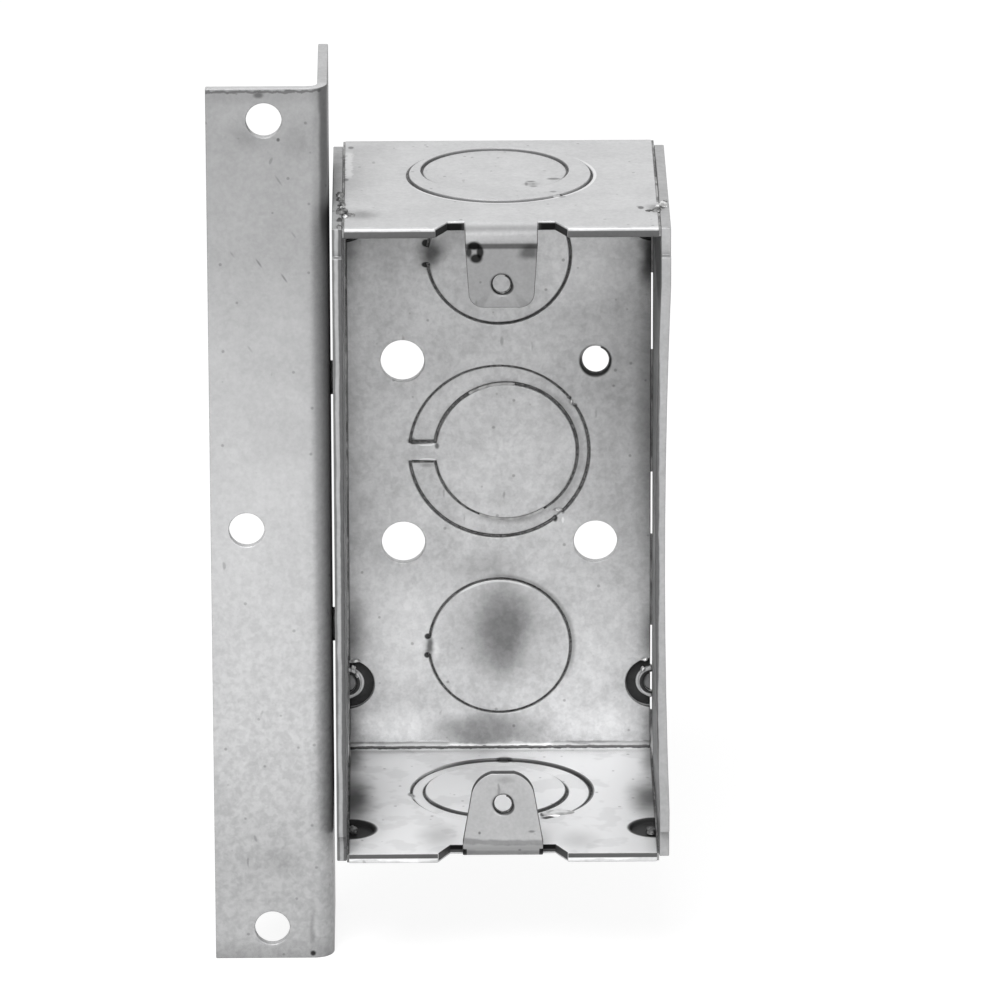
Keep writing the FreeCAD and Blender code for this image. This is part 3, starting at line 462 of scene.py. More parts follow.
def box_zinc(context):
    """The folded body: stained at the welds, ties and ears, with painted shade on its sheared edges, notches, ears,
    corners and knockout lines, and painted light on its bottom wall.
    """
    knockouts, welds = context.scene.handybox_knockouts, context.scene.handybox_welds
    f = Zinc("box zinc", context.scene.handybox_zinc)
    wall = (HALF_HEIGHT - SHEET) / MM
    front = FRONT / MM
    inside = f.all_of("Inside", f.level("Below the top wall", f.z, wall + 0.3, wall + 0.7, 1.0, 0.28),
                      f.level("Behind the ears", f.y, front + 3.0, front + 6.0, 0.3, 1.0))
    f.vary("Patches", f.patches, 0.3, 0.7, f.ramp("Patch share", inside, 0.0, 1.0, 0.05, 0.11))
    f.vary("Crystal tone", f.crystals, 0.3, 0.7, f.ramp("Crystal share", inside, 0.0, 1.0, 0.02, 0.11))
    f.vary("Grain tone", f.grain, 0.25, 0.75, 0.06)
    f.marks(1.0)
    plain_lightness, plain_shade = f.lightness, f.shade
    for patch in CLEAN_AND_LIT_PATCHES:
        f.clean(*patch)
    for stain_and_shade in (*BACK_STAINS_AND_SHADE, *FLOOR_STAINS_AND_SHADE, *TOP_STAINS_AND_SHADE, *EAR_STAINS):
        f.stain_and_shade(*stain_and_shade)
    for tear in TEARS:
        f.stain_and_shade(*tear, place=f.place)
    for lip in LIPS_AND_HIGHLIGHTS:
        f.clean(*lip, place=f.place)
    ragged = f.math("Ragged edge of the strip", "MULTIPLY_ADD", f.crystals, 2.0 * MM, f.x)
    strip = f.all_of("Ground strip on the top left seam", f.band("Strip width", ragged, -22.6, -21.5, 0.35),
                     f.band("Strip length", f.y, -21.0, -8.2, 1.6), f.level("Upper face", f.z, 50.0, 50.4))
    f.lightness = f.math("Ground strip", "MULTIPLY_ADD", strip, 0.6, f.lightness)
    hidden = f.math("Outside of the back or bottom", "MAXIMUM", f.ramp("Faces back", f.along, 0.3, 0.6),
                    f.ramp("Faces down", f.upward, -0.6, -0.3, 1.0, 0.0))
    f.lightness = f.math("Lightness outside", "MULTIPLY_ADD", hidden, f.math(
        "Back to the plain lightness", "SUBTRACT", plain_lightness, f.lightness), f.lightness)
    f.shade = f.math("Shade outside", "MULTIPLY_ADD", hidden, f.math(
        "Back to the plain shade", "SUBTRACT", plain_shade, f.shade), f.shade)

    mirrored = f.vector("Mirrored place", "ABSOLUTE", f.place)
    right, _, height = f.parts("Mirrored parts", mirrored)
    weld_at = (PLATE_INSIDE / MM, 0.0, (HALF_HEIGHT - welds.from_end) / MM)
    radius = f.math("From the weld", "MULTIPLY", f.distance("Weld", weld_at, (1.0, 0.0, 1.0), mirrored)[1], MM)
    facing = f.ramp("Faces the front", f.along, -0.6, -0.2, 1.0, 0.0)
    on_back = f.all_of("On the back wall", facing, f.level("Back wall", f.y, -4.0, -3.0))
    burnt = f.band("Burnt floor of a well", radius, welds.core / MM + 0.8, welds.well / MM + 0.22, 0.12)
    f.darken("Burnt well", f.all_of("Burnt well mask", burnt, on_back), 0.92)
    rim = f.band("Dark rim of the core", radius, welds.core / MM - 0.45, welds.core / MM + 0.25, 0.12)
    f.darken("Core rim", f.all_of("Core rim mask", rim, on_back), 0.9)
    core = f.level("Inside the rim", radius, welds.core / MM - 0.6, welds.core / MM - 0.3, 1.0, 0.0)
    f.darken("Core", f.all_of("Core mask", core, on_back), 0.5)

    # Painted shade on the front sheared edges of the top and bottom walls, which face the front, and in the notches
    # beside the ears.
    sheared = f.ramp("Sheared face", f.along, -0.8, -0.5, 1.0, 0.0)
    before = f.level("At the front", f.y, front + 4.2, front + 4.6, 1.0, 0.0)
    beside = f.level("Beside the ear", right, 5.5, 6.3)
    at_edge = f.all_of("Front edge", sheared, before, beside)
    edge_top = f.band("Top sheared edge", f.z, wall - 0.3, wall + SHEET / MM - 0.42, 0.15)
    f.darken("Top edge", f.all_of("Top edge mask", edge_top, at_edge), 0.8)
    edge_low = f.band("Bottom sheared edge", f.z, -(wall + 0.75), -(wall - 0.3), 0.12)
    f.darken("Bottom edge", f.all_of("Bottom edge mask", edge_low, at_edge), 0.88)
    in_notch = f.band("In a notch", right, 5.55, 9.9, 0.08)
    slanting = f.ramp("Faces partly to the front", f.along, -0.35, -0.2, 1.0, 0.0)
    at_wall = f.band("Height of an end wall", height, wall - 0.3, wall + SHEET / MM - 0.3, 0.12)
    f.darken("Notch", f.all_of("Notch mask", in_notch, slanting, before, at_wall), 0.91)

    # Painted shade on the ears, which face the front: over their faces, on the sides of their bends, round their rims
    # and on the downward bend of the bottom ear. The crease under the top ear's bend is a forming mark darkened with
    # painted shade.
    ear = f.all_of("Ears", f.level("On an ear", right, 6.1, 6.4, 1.0, 0.0),
                   f.level("Ear depth", f.y, front + 1.5, front + 3.5, 1.0, 0.0))
    f.darken("Top ear", f.all_of("Top ear mask", ear, f.level("Upper half", f.z, 0.0, 1.0)), 0.55)
    f.darken("Bottom ear", f.all_of("Bottom ear mask", ear, f.level("Lower half", f.z, -1.0, 0.0, 1.0, 0.0)), 0.27)
    crease = f.band("Crease", f.z, 47.3, 48.1, 0.25)
    f.darken("Ear crease", f.all_of("Ear crease mask", ear, crease), 0.66)
    sideways = f.ramp("Faces sideways", f.math("Facing across", "ABSOLUTE", f.across), 0.5, 0.8)
    f.darken("Sides of the ear bends", f.all_of("Ear side mask", ear, sideways, f.level(
        "At the bend", height, 46.4, 47.0)), 0.9)
    rim = f.ramp("Faces sideways or up", f.math("Facing along", "ABSOLUTE", f.along), 0.45, 0.9, 1.0, 0.0)
    on_face = f.level("Clear of the bend", height, 47.0, 47.6, 1.0, 0.0)
    f.darken("Ear rim", f.all_of("Ear rim mask", ear, rim, on_face), 0.78)
    wavy = f.math("Wavy edge of the bend", "MULTIPLY_ADD", f.patches, 1.6 * MM, f.z)
    low_bend = f.all_of("Bottom ear bend", ear, f.level("Below the wave", wavy, -46.9, -46.3, 1.0, 0.0))
    f.darken("Bend of the bottom ear", low_bend, 0.4)

    wavering = f.math("Wavering fold", "MULTIPLY_ADD", f.crystals, 0.3 * MM, f.z)
    in_fold = f.band("Fold depth", f.y, -3.0, -1.45, 0.1)
    fold = f.band("Fold height", wavering, -(wall - 0.3), -(wall - 0.68), 0.08)
    f.darken("Shadow line of the fold", f.all_of("Fold mask", in_fold, fold), 0.88)
    # Painted shade over the fold either side of its bright middle stretch.
    darker = f.all_of("Ends of the fold in painted shade", f.level("Either side of the bright stretch", right, 7.2, 8.8),
                    f.band("Upper part of the fold", wavering, -(wall - 0.68), -(wall - 1.35), 0.12),
                    f.level("Fold and back wall", f.y, -2.6, -2.2))
    f.darken("Painted shade on the fold", darker, 0.42)

    plan = (1.0, 1.0, 0.0)
    end = (FRONT + knockouts.from_front) / MM
    ring, disc = (knockouts.large - knockouts.slit) / 2 / MM, (knockouts.small - knockouts.slit) / 2 / MM
    top = f.level("Top wall", f.z, wall - 0.5, wall)
    low = f.level("Bottom wall", f.z, -wall, -(wall - 0.5), 1.0, 0.0)
    # Painted shade in the sheared lines of the knockouts, heaviest on one side of each line, and painted highlights at
    # the front of the top ring and on top of the lower knockout.
    f.groove("Top ring", (0.0, end, 0.0), plan, ring, (-0.8, -0.6, 0.0), 0.45, 0.24, top)
    f.groove("Painted highlight at the front of the top ring", (0.0, end, 0.0), plan, ring + 0.5, (0.5, -0.87, 0.0), -0.8, 0.2, top)
    f.groove("Top disc", (-0.75, end + 1.95, 0.0), plan, disc, (0.0, 1.0, 0.0), 0.5, 0.24, top)
    f.groove("Bottom ring", (0.0, end, 0.0), plan, ring, (0.75, 0.66, 0.0), 0.8, 0.45, low)
    f.groove("Bottom disc", (-0.9, end + 0.3, 0.0), plan, disc, (0.3, -0.95, 0.0), 0.8, 0.34, low)
    upright = (1.0, 0.0, 1.0)
    single = (0.0, 0.0, -(HALF_HEIGHT - knockouts.from_end) / MM)
    f.groove("Shade right of the back disc", (knockouts.disc_right / MM, 0.0, 0.0), upright, disc + 0.6,
             (1.0, 0.0, -0.5), 0.2, 0.4, on_back, soft=0.5)
    f.groove("Shade right of the lower knockout", single, upright, disc + 0.4, (0.8, 0.0, 0.6), 0.42, 0.3,
             on_back, soft=0.5, arc=(0.0, 0.9))
    f.groove("Painted highlight on top of the lower knockout", single, upright, disc - 0.42, (-0.1, 0.0, 1.0), -0.9, 0.12,
             on_back, arc=(0.82, 0.96))
    # Painted shade over the top wall and painted light over the bottom wall.
    f.darken("Top wall", top, 0.07)
    f.darken("Painted light on the bottom wall", low, -0.1)
    f.darken("Clouds on the bottom wall", f.all_of("Cloud mask", low, f.ramp(
        "Clouds", f.patches, 0.4, 0.5, 1.0, 0.0)), 0.1)
    f.corners(3.0, 0.4)
    return f.finish()


def plate_zinc(context, name, sign):
    """A side plate: its sheared front is dull outside, bright in the middle and dark inside, and its inner face has
    painted shade.
    """
    f = Zinc(name, context.scene.handybox_zinc)
    f.vary("Patches", f.patches, 0.3, 0.7, 0.07)
    f.vary("Crystal tone", f.crystals, 0.3, 0.7, 0.06)
    f.vary("Grain tone", f.grain, 0.25, 0.75, 0.06)
    f.marks(1.0)
    f.darken("Dull plate", 1.0, 0.36)
    outside = LEFT_LOW.x if sign < 0 else RIGHT_LOW.x + SHEET
    depth = f.math("Depth from the outside", "MULTIPLY", f.math("Past the outside", "SUBTRACT", f.x, outside), -sign)
    sheared = f.ramp("Sheared face", f.along, -0.8, -0.5, 1.0, 0.0)
    wavering = f.math("Wavering depth", "MULTIPLY_ADD", f.patches, 0.5 * MM, depth)
    outer = f.level("Outer part", wavering, 0.5, 0.75, 1.0, 0.0)
    inner = f.level("Inner part", wavering, 1.0, 1.35)
    f.darken("Outer part of the edge", f.all_of("Outer edge mask", outer, sheared), 0.55 if sign < 0 else 0.0)
    f.darken("Inner part of the edge", f.all_of("Inner edge mask", inner, sheared), 0.68)
    # Painted shade on the inner faces, inside the box, and deeper painted shade at the top of the right plate's inner
    # face, under the top wall.
    f.darken("Painted shade on the inner face", f.ramp("Faces inwards", f.math("Inwards", "MULTIPLY", f.across, -sign), 0.5, 0.8), 0.5)
    if sign > 0:
        f.stain_and_shade("Painted shade at the top of the inner face", (23.2, -22.0, 44.0), (1.15, 40.0, 12.0), 0.88, 0.8, f.place)
    f.corners(3.0, 0.6)
    return f.finish()


def bracket_zinc(context):
    """The bracket: painted shade towards its ends, a painted dark reflection on its bend, more mottled low down."""
    f = Zinc("bracket zinc", context.scene.handybox_zinc)
    lower = f.level("Lower down", f.z, -60.0, 30.0, 1.0, 0.0)
    f.vary("Patches", f.patches, 0.3, 0.7, 0.06)
    f.vary("Crystal tone", f.crystals, 0.3, 0.7, f.ramp("Crystal share", lower, 0.0, 1.0, 0.05, 0.14))
    f.vary("Grain tone", f.grain, 0.25, 0.75, 0.05)
    f.marks(0.9)
    side = f.ramp("Not the top edge", f.upward, 0.5, 0.8, 1.0, 0.0)
    f.darken("Dull bracket", 1.0, 0.11)
    f.darken("Dull end of the leg", f.all_of("Leg end mask", f.ramp("Top edge", f.upward, 0.5, 0.8), f.level(
        "On the leg", f.y, BRACKET_LOW.y / MM + 2.0, BRACKET_LOW.y / MM + 4.0)), 0.17)
    # Painted shade towards the upper and lower ends and a little across the middle.
    f.darken("Painted shade on the upper end", f.all_of("Upper mask", side, f.level("Upper end", f.z, -10.0, 70.0)), 0.38)
    f.darken("Painted shade across the middle", f.band("Middle", f.z, 5.0, 25.0, 14.0), 0.06)
    f.darken("Painted shade on the lower end", f.level("Lower end", f.z, -70.0, -20.0, 1.0, 0.0), 0.22)
    # Painted dark reflection on the bend, strongest above the box.
    wavering = f.math("Wavering bend", "MULTIPLY_ADD", f.patches, 0.8 * MM, f.x)
    high = f.all_of("Side above the box", side, f.level("Above the box", f.z, 40.0, 52.0))
    bend_out = BRACKET_HIGH.x / MM
    f.darken("Painted dark reflection on the bend", f.all_of("Bend mask", side, f.level(
        "Bend", wavering, bend_out - 2.9, bend_out - 0.6)), 0.03)
    f.darken("Painted dark reflection on the bend above the box", f.all_of("High bend", high, f.level(
        "High bend begins", wavering, bend_out - 1.9, bend_out - 0.9)), 0.55)
    front = f.ramp("Faces the front", f.along, -0.9, -0.6, 1.0, 0.0)
    ragged = f.math("Wavering level", "MULTIPLY_ADD", f.crystals, 0.9 * MM, f.z)
    # Painted shadow line along the top of the front face, under the burr.
    f.darken("Painted burr light and shade", f.all_of("Burr mask", front, f.band("Burr level", ragged, 69.75, 70.15, 0.1)), 0.5)
    f.darken("Shade under the burr", f.all_of("Shade mask", front, f.level("Shade", ragged, 66.5, 70.2)), 0.14)
    face = BRACKET_LOW.y / MM
    f.stain_and_shade("Nick under the top edge", (-36.3, face, 69.0), (1.1, 3.0, 0.7), 0.55, 0.3, f.place)
    f.stain_and_shade("Pit by the top hole", (-33.4, face, 62.0), (0.35, 3.0, 0.4), 0.6, 0.4, f.place)
    f.stain_and_shade("Black dot at the foot", (-29.3, face, -69.2), (0.6, 3.0, 0.6), 0.9, 0.4, f.place)
    f.stain_and_shade("Streak above that dot", (-29.6, face, -65.0), (0.6, 3.0, 5.0), 0.3, 0.1)
    f.stain_and_shade("Worn left of the top hole", (-38.2, face, 62.5), (3.5, 3.0, 3.5), 0.16, 0.1)
    f.stain_and_shade("Worn right of the top hole", (-30.8, face, 61.5), (3.5, 3.0, 4.0), 0.12, 0.1)
    f.stain_and_shade("Worn above the bottom hole", (-34.5, face, -54.0), (6.0, 3.0, 3.5), 0.14, 0.1)
    slant = f.vector("Slant", "DOT_PRODUCT", f.place, (1.0, 0.0, 0.62))
    slanted = f.add("ShaderNodeCombineXYZ", "Slanted place", {"X": slant, "Y": f.y, "Z": f.z}).outputs[0]
    for x, z, reach, amount in ((-33.4, 55.6, 1.1, 0.28), (-36.5, 42.6, 1.0, 0.42), (-32.7, 40.2, 1.0, 0.42),
                                (-40.5, 44.0, 0.7, 0.2), (-38.0, 29.0, 0.8, 0.2), (-31.2, 47.0, 0.7, 0.22)):
        f.stain_and_shade("Leaning scratch", (x + 0.62 * z, face, z), (0.28, 3.0, reach), amount, 0.2, slanted)
    f.corners(4.0, 0.45)
    return f.finish()


def torn_steel_with_painted_shade(name, darker, bright, roughness, reach, corner_shade, fleck_width=0.45, height=0.5):
    """Raw steel from a tear, with painted shade in its depths."""
    f = Finish(name)
    fleck = f.ramp("Torn flecks", f.cloud("Tears", fleck_width * MM, 1.0, 0.5).outputs["Fac"], 0.35, 0.65)
    f.corners(reach, corner_shade)
    colour = f.mix("Torn colour", fleck, (darker, darker, darker, 1.0), (bright, bright, bright, 1.0))
    f.put(f.shader.inputs["Base Color"], f.mix("Grimy colour", 1.0, colour, f.shade, "MULTIPLY"))
    f.put(f.shader.inputs["Metallic"], 0.5)
    f.put(f.shader.inputs["Roughness"], roughness)
    bump = f.add("ShaderNodeBump", "Torn height", {"Height": fleck, "Strength": height, "Distance": 0.08 * MM})
    f.put(f.shader.inputs["Normal"], bump.outputs["Normal"])
    return f.material


def wear(node, material, rounding):
    """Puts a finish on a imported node, and rounds its sheared edges."""
    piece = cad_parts[node]
    piece.data.materials.clear()
    piece.data.materials.append(material)
    weld = piece.modifiers.new("Join faces", "WELD")
    weld.merge_threshold = 0.001 * MM
    bevel = piece.modifiers.new("Round edges", "BEVEL")
    bevel.width = rounding
    bevel.segments = 2
    bevel.limit_method = "ANGLE"
    bevel.angle_limit = math.radians(40.0)
    bevel.use_clamp_overlap = False
    bevel.loop_slide = False
    piece.modifiers.new("Even shading", "WEIGHTED_NORMAL")


def new_piece(name, mesh, material):
    """A finished piece that belongs to the box."""
    bmesh.ops.recalc_face_normals(mesh, faces=mesh.faces)
    data = bpy.data.meshes.new(name)
    mesh.to_mesh(data)
    mesh.free()
    data.materials.append(material)
    piece = bpy.data.objects.new(name, data)
    bpy.context.scene.collection.objects.link(piece)
    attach(piece, BODY)
    return piece


def sweep(mesh, stations):
    """Skins a row of rings, each a list of points, and closes both ends."""
    rings = [[mesh.verts.new(point) for point in ring] for ring in stations]
    for first, second in zip(rings, rings[1:]):
        for number in range(len(first)):
            following = (number + 1) % len(first)
            mesh.faces.new((first[number], first[following], second[following], second[number]))
    mesh.faces.new(reversed(rings[0]))
    mesh.faces.new(rings[-1])


def web(mesh, path, half_width, thickness, seed):
    """A torn strip along a path of (point, across, up), deep in some stretches and nearly flush in others."""
    stations = []
    flush = SHEET / 2 - 0.04 * MM
    for number, (point, across, up) in enumerate(path):
        drift = noise.noise(Vector((number * 0.045, seed, 0.0))) + 0.4 * noise.noise(Vector((number * 0.6, seed, 5.0)))
        top = up * min(thickness * (0.72 + 0.42 * drift), flush)
        under = up * min(thickness * (0.72 - 0.42 * drift), flush)
        side = across * half_width
        stations.append([point - side - under, point + side - under, point + side + top, point - side + top])
    sweep(mesh, stations)


class Wall:
    """A sheet wall: a point on its middle plane, its two directions along the sheet and its facing."""

    def __init__(self, middle, right, up):
        self.middle, self.right, self.up = Vector(middle), Vector(right), Vector(up)
        self.facing = self.right.cross(self.up)

    def at(self, x, y, out=0.0):
        return self.middle + self.right * x + self.up * y + self.facing * out

    def outward(self, degrees):
        angle = math.radians(degrees)
        return self.right * math.cos(angle) + self.up * math.sin(angle)


def arc_path(wall, x, y, radius, first, last, step=0.5):
    """Stations along an arc on a wall, in degrees, a step in millimetres apart."""
    count = max(3, int(math.radians(last - first) * radius / (step * MM)))
    path = []
    for number in range(count + 1):
        outward = wall.outward(first + (last - first) * number / count)
        path.append((wall.at(x, y) + outward * radius, outward, wall.facing))
    return path


def straight_path(start, end, across, up, step=0.5):
    count = max(2, int((end - start).length / (step * MM)))
    return [(start.lerp(end, number / count), across, up) for number in range(count + 1)]


def back_wall():
    return Wall((0.0, -SHEET / 2, 0.0), (1.0, 0.0, 0.0), (0.0, 0.0, 1.0))


def right_wall():
    """The right plate leans in towards the front."""
    thickness = Vector((SHEET / 2, 0.0, 0.0))
    foot = Vector((RIGHT_HIGH.x, 0.0, 0.0)) - thickness
    head = Vector((RIGHT_LOW.x, LEFT_LOW.y, 0.0)) + thickness
    forward = (foot - head).normalized()
    return Wall(foot.lerp(head, 0.5), forward, (0.0, 0.0, 1.0))


def knockout_cuts(k):
    """Every sheared line round a knockout: wall, middle, diameter, and first and last degree."""
    back = back_wall()
    top = Wall((0.0, 0.0, HALF_HEIGHT - SHEET / 2 + k.ring_rise / 2), (1.0, 0.0, 0.0), (0.0, 1.0, 0.0))
    low = Wall((0.0, 0.0, -(HALF_HEIGHT - SHEET / 2 + k.ring_rise / 2)), (1.0, 0.0, 0.0), (0.0, 1.0, 0.0))
    level = HALF_HEIGHT - k.from_end
    end = FRONT + k.from_front
    bridge_large = math.degrees(math.asin(k.bridge / k.large))
    bridge_small = math.degrees(math.asin(k.bridge / k.small))
    cuts = [
        (back, 0.0, level, k.small, -173.0, 173.0),
        (back, 0.0, -level, k.small, -173.0, 173.0),
        (back, 0.0, 0.0, k.large, -45.5, 33.0),
        (back, 0.0, 0.0, k.large, 38.0, 180.0 - bridge_large),
        (back, 0.0, 0.0, k.large, -180.0 + bridge_large, -50.5),
        (back, k.disc_right, 0.0, k.small, -180.0 + bridge_small, -112.0),
        (back, k.disc_right, 0.0, k.small, -58.0, 83.0),
        (back, k.disc_right, 0.0, k.small, 121.0, 180.0 - bridge_small),
        (top, 0.0, end, k.large, -49.5, 87.5),
        (top, 0.0, end, k.large, 92.5, 305.5),
        (top, -0.75 * MM, end + 1.95 * MM, k.small, -41.0, 311.0),
        (low, 0.0, end, k.large, 90.5, 184.5),
        (low, 0.0, end, k.large, 189.5, 445.5),
        (low, -0.9 * MM, end + 0.3 * MM, k.small, -56.0, 296.0),
    ]
    side = right_wall()
    half_depth = (side.middle - Vector((0.0, -23.8 * MM, 0.0))).dot(side.right) * -1.0
    for sign in (-1, 1):
        cuts.append((side, half_depth, k.from_middle * sign, k.small, 97.0, 443.0))
    return cuts


class HANDYBOX_OT_body(Operator):
    """Galvanise the folded body"""

    bl_idname = "handybox.body"
    bl_label = "Folded body"

    def execute(self, context):
        wear("folded_body", box_zinc(context), context.scene.handybox_zinc.rounding)
        return {"FINISHED"}


class HANDYBOX_OT_plates(Operator):
    """Galvanise the two side plates"""

    bl_idname = "handybox.plates"
    bl_label = "Side plates"

    def execute(self, context):
        rounding = context.scene.handybox_zinc.rounding
        wear("left_plate", plate_zinc(context, "left plate zinc", -1), rounding)
        wear("right_plate", plate_zinc(context, "right plate zinc", 1), rounding)
        return {"FINISHED"}


class HANDYBOX_OT_bracket(Operator):
    """Galvanise the angle bracket"""

    bl_idname = "handybox.bracket"
    bl_label = "Angle bracket"

    def execute(self, context):
        wear("angle_bracket", bracket_zinc(context), context.scene.handybox_zinc.rounding)
        return {"FINISHED"}


class HANDYBOX_OT_webs(Operator):
    """Close the sheared lines and the seams with dark torn metal, whose darkness is partly painted shade"""

    bl_idname = "handybox.webs"
    bl_label = "Webs and seams"

    def execute(self, context):
        k = context.scene.handybox_knockouts
        # Dark torn metal in the sheared lines and dark strips in the open seams: partly real torn metal and burrs,
        # partly painted shade in those narrow gaps.
        steel = torn_steel_with_painted_shade("torn steel and painted shade", 0.08, 0.2, 0.55, 0.9, 0.8)
        seam_steel_and_shade = torn_steel_with_painted_shade("seam steel and painted shade", 0.16, 0.4, 0.5, 0.6, 0.6, 2.5)
        mesh = bmesh.new()
        for seed, (wall, x, y, diameter, first, last) in enumerate(knockout_cuts(k)):
            path = arc_path(wall, x, y, diameter / 2 - k.slit / 2, first, last)
            web(mesh, path, k.slit / 2 + 0.02 * MM, k.web, seed * 3.7)
        back = back_wall()
        for sign in (-1, 1):
            level = (k.bridge / 2 + k.slit / 2) * sign
            path = straight_path(back.at(-(k.large / 2 - k.slit / 2), level),
                                 back.at(k.disc_right - (k.small / 2 - k.slit / 2), level), back.up, back.facing)
            web(mesh, path, k.slit / 2 + 0.02 * MM, k.web, 50.0 + sign)
        new_piece("knockout_webs", mesh, steel)
        level = HALF_HEIGHT / MM - 0.75
        for name, sign, runs in (
                ("left_seam", -1, ((level, -level),)),
                ("right_seam", 1, ((level, 29.1), (16.3, -3.5), (-14.1, -28.9), (-43.3, -level)))):
            mesh = bmesh.new()
            for start, stop in runs:
                web(mesh, seam_path(k, sign, start * MM, stop * MM), k.seam / 2 - 0.01 * MM, 1.4 * k.web, start)
            new_piece(name, mesh, seam_steel_and_shade)
        return {"FINISHED"}


def seam_path(k, sign, start, stop):
    """Stations down the middle of the folded sheet, between its edge and a side plate."""
    x = (PLATE_INSIDE - k.seam / 2 - 0.01 * MM) * sign
    middle = HALF_HEIGHT - SHEET / 2
    bend = 1.75 * MM
    corner_y, corner_z = -SHEET / 2 - bend, middle - bend
    across = Vector((1.0, 0.0, 0.0))
    lip = FRONT + 0.2 * MM
    rows = []
    if start >= middle - 0.1 * MM:
        rows += [(lip + (corner_y - lip) * step / 80, middle, 0.0, 1.0) for step in range(80)]
        for step in range(6):
            angle = math.pi / 2 * (1 - step / 6)
            rows.append((corner_y + bend * math.cos(angle), corner_z + bend * math.sin(angle),
                         math.cos(angle), math.sin(angle)))
    first, last = min(start, corner_z), max(stop, -corner_z)
    count = max(2, int((first - last) / (0.5 * MM)))
    rows += [(-SHEET / 2, first + (last - first) * step / count, 1.0, 0.0) for step in range(count + 1)]
    if stop <= -(middle - 0.1 * MM):
        for step in range(1, 7):
            angle = -math.pi / 2 * step / 6
            rows.append((corner_y + bend * math.cos(angle), -corner_z + bend * math.sin(angle),
                         math.cos(angle), math.sin(angle)))
        rows += [(corner_y + (lip - corner_y) * step / 80, -middle, 0.0, -1.0) for step in range(1, 81)]
    return [(Vector((x, y, z)), across, Vector((0.0, out_y, out_z))) for y, z, out_y, out_z in rows]


def nugget(mesh, centre, half, lumps, depth, seed):
    """A lump of metal: a ball drawn out to half sizes, pushed in and out by noise. Sizes in millimetres."""
    made = bmesh.ops.create_icosphere(mesh, subdivisions=4, radius=1.0)
    for vert in made["verts"]:
        ray = vert.co.normalized()
        swell = 1.0 + depth * noise.fractal(ray * lumps + Vector((seed, seed * 1.7, 0.0)), 1.0, 2.0, 2)
        vert.co = (Vector(centre) + Vector((ray.x * half[0], ray.y * half[1], ray.z * half[2])) * swell) * MM
    for face in mesh.faces:
        face.smooth = True


class HANDYBOX_OT_welds(Operator):
    """Lay the weld beads on the top wall and in the bottom wells"""

    bl_idname = "handybox.welds"
    bl_label = "Weld beads"

    def execute(self, context):
        w = context.scene.handybox_welds
        burnt = torn_steel_with_painted_shade("burnt weld metal", 0.05, 0.24, 0.55, 0.5, 0.5, 0.9, 0.3)
        bright = torn_steel_with_painted_shade("bright weld metal", 0.35, 0.85, 0.3, 0.4, 0.4, 0.8, 0.3)
        bead = (FRONT + w.from_front) / MM
        level = (HALF_HEIGHT - w.from_end) / MM
        floor = FLOOR_FACE / MM
        beads = {
            "top_left_weld": (burnt, (
                ((-24.1, bead + 6.7, 50.6), (0.7, 1.1, 0.6)), ((-24.3, bead + 4.2, 50.6), (0.5, 0.9, 0.55)),
                ((-24.0, bead + 1.6, 50.6), (0.6, 1.0, 0.6)), ((-24.0, bead - 2.2, 50.6), (1.0, 1.3, 0.75)),
                ((-22.7, bead - 3.6, 50.5), (0.9, 0.9, 0.6)), ((-24.3, bead - 6.2, 50.5), (0.5, 0.9, 0.6)),
                ((-24.3, bead - 9.6, 50.5), (0.5, 0.8, 0.6)))),
            "top_left_nugget": (bright, (
                ((-23.8, bead - 0.4, 50.8), (0.45, 0.6, 0.5)), ((-23.4, bead - 4.6, 50.8), (0.35, 0.5, 0.45)),
                ((-24.4, bead + 5.4, 50.8), (0.25, 0.4, 0.4)))),
            "top_right_weld": (burnt, (
                ((23.4, bead - 1.9, 50.55), (0.8, 1.1, 0.6)), ((22.3, bead - 2.2, 50.55), (0.6, 0.6, 0.4)),
                ((24.8, bead + 2.4, 50.5), (0.4, 0.7, 0.5)))),
            "top_right_nugget": (bright, (
                ((24.5, bead + 0.3, 50.7), (0.7, 1.1, 0.65)), ((23.6, bead - 0.7, 50.8), (0.3, 0.5, 0.4)))),
            "back_left_weld": (bright, (
                ((-22.8, -1.5, 3.9 - level), (0.9, 0.4, 0.32)), ((-23.0, -1.4, 2.6 - level), (0.4, 0.4, 0.5)),
                ((-22.4, -1.3, 1.5 - level), (0.3, 0.3, 0.45)))),
            "back_right_weld": (bright, (
                ((22.7, -1.5, 3.9 - level), (0.6, 0.4, 0.3)), ((22.4, -1.4, 2.2 - level), (0.3, 0.3, 0.45)))),
            "bottom_left_weld": (burnt, (
                ((-23.0, bead + 0.4, floor - 0.3), (0.7, 1.4, 0.45)),)),
            "bottom_right_weld": (burnt, (
                ((22.9, bead - 0.4, floor - 0.3), (0.8, 1.6, 0.45)),)),
        }
        for number, (name, (metal, lumps)) in enumerate(beads.items()):
            mesh = bmesh.new()
            for count, (centre, half) in enumerate(lumps):
                nugget(mesh, centre, half, 1.3, 0.35, number * 10.0 + count * 3.1)
            new_piece(name, mesh, metal)
        return {"FINISHED"}


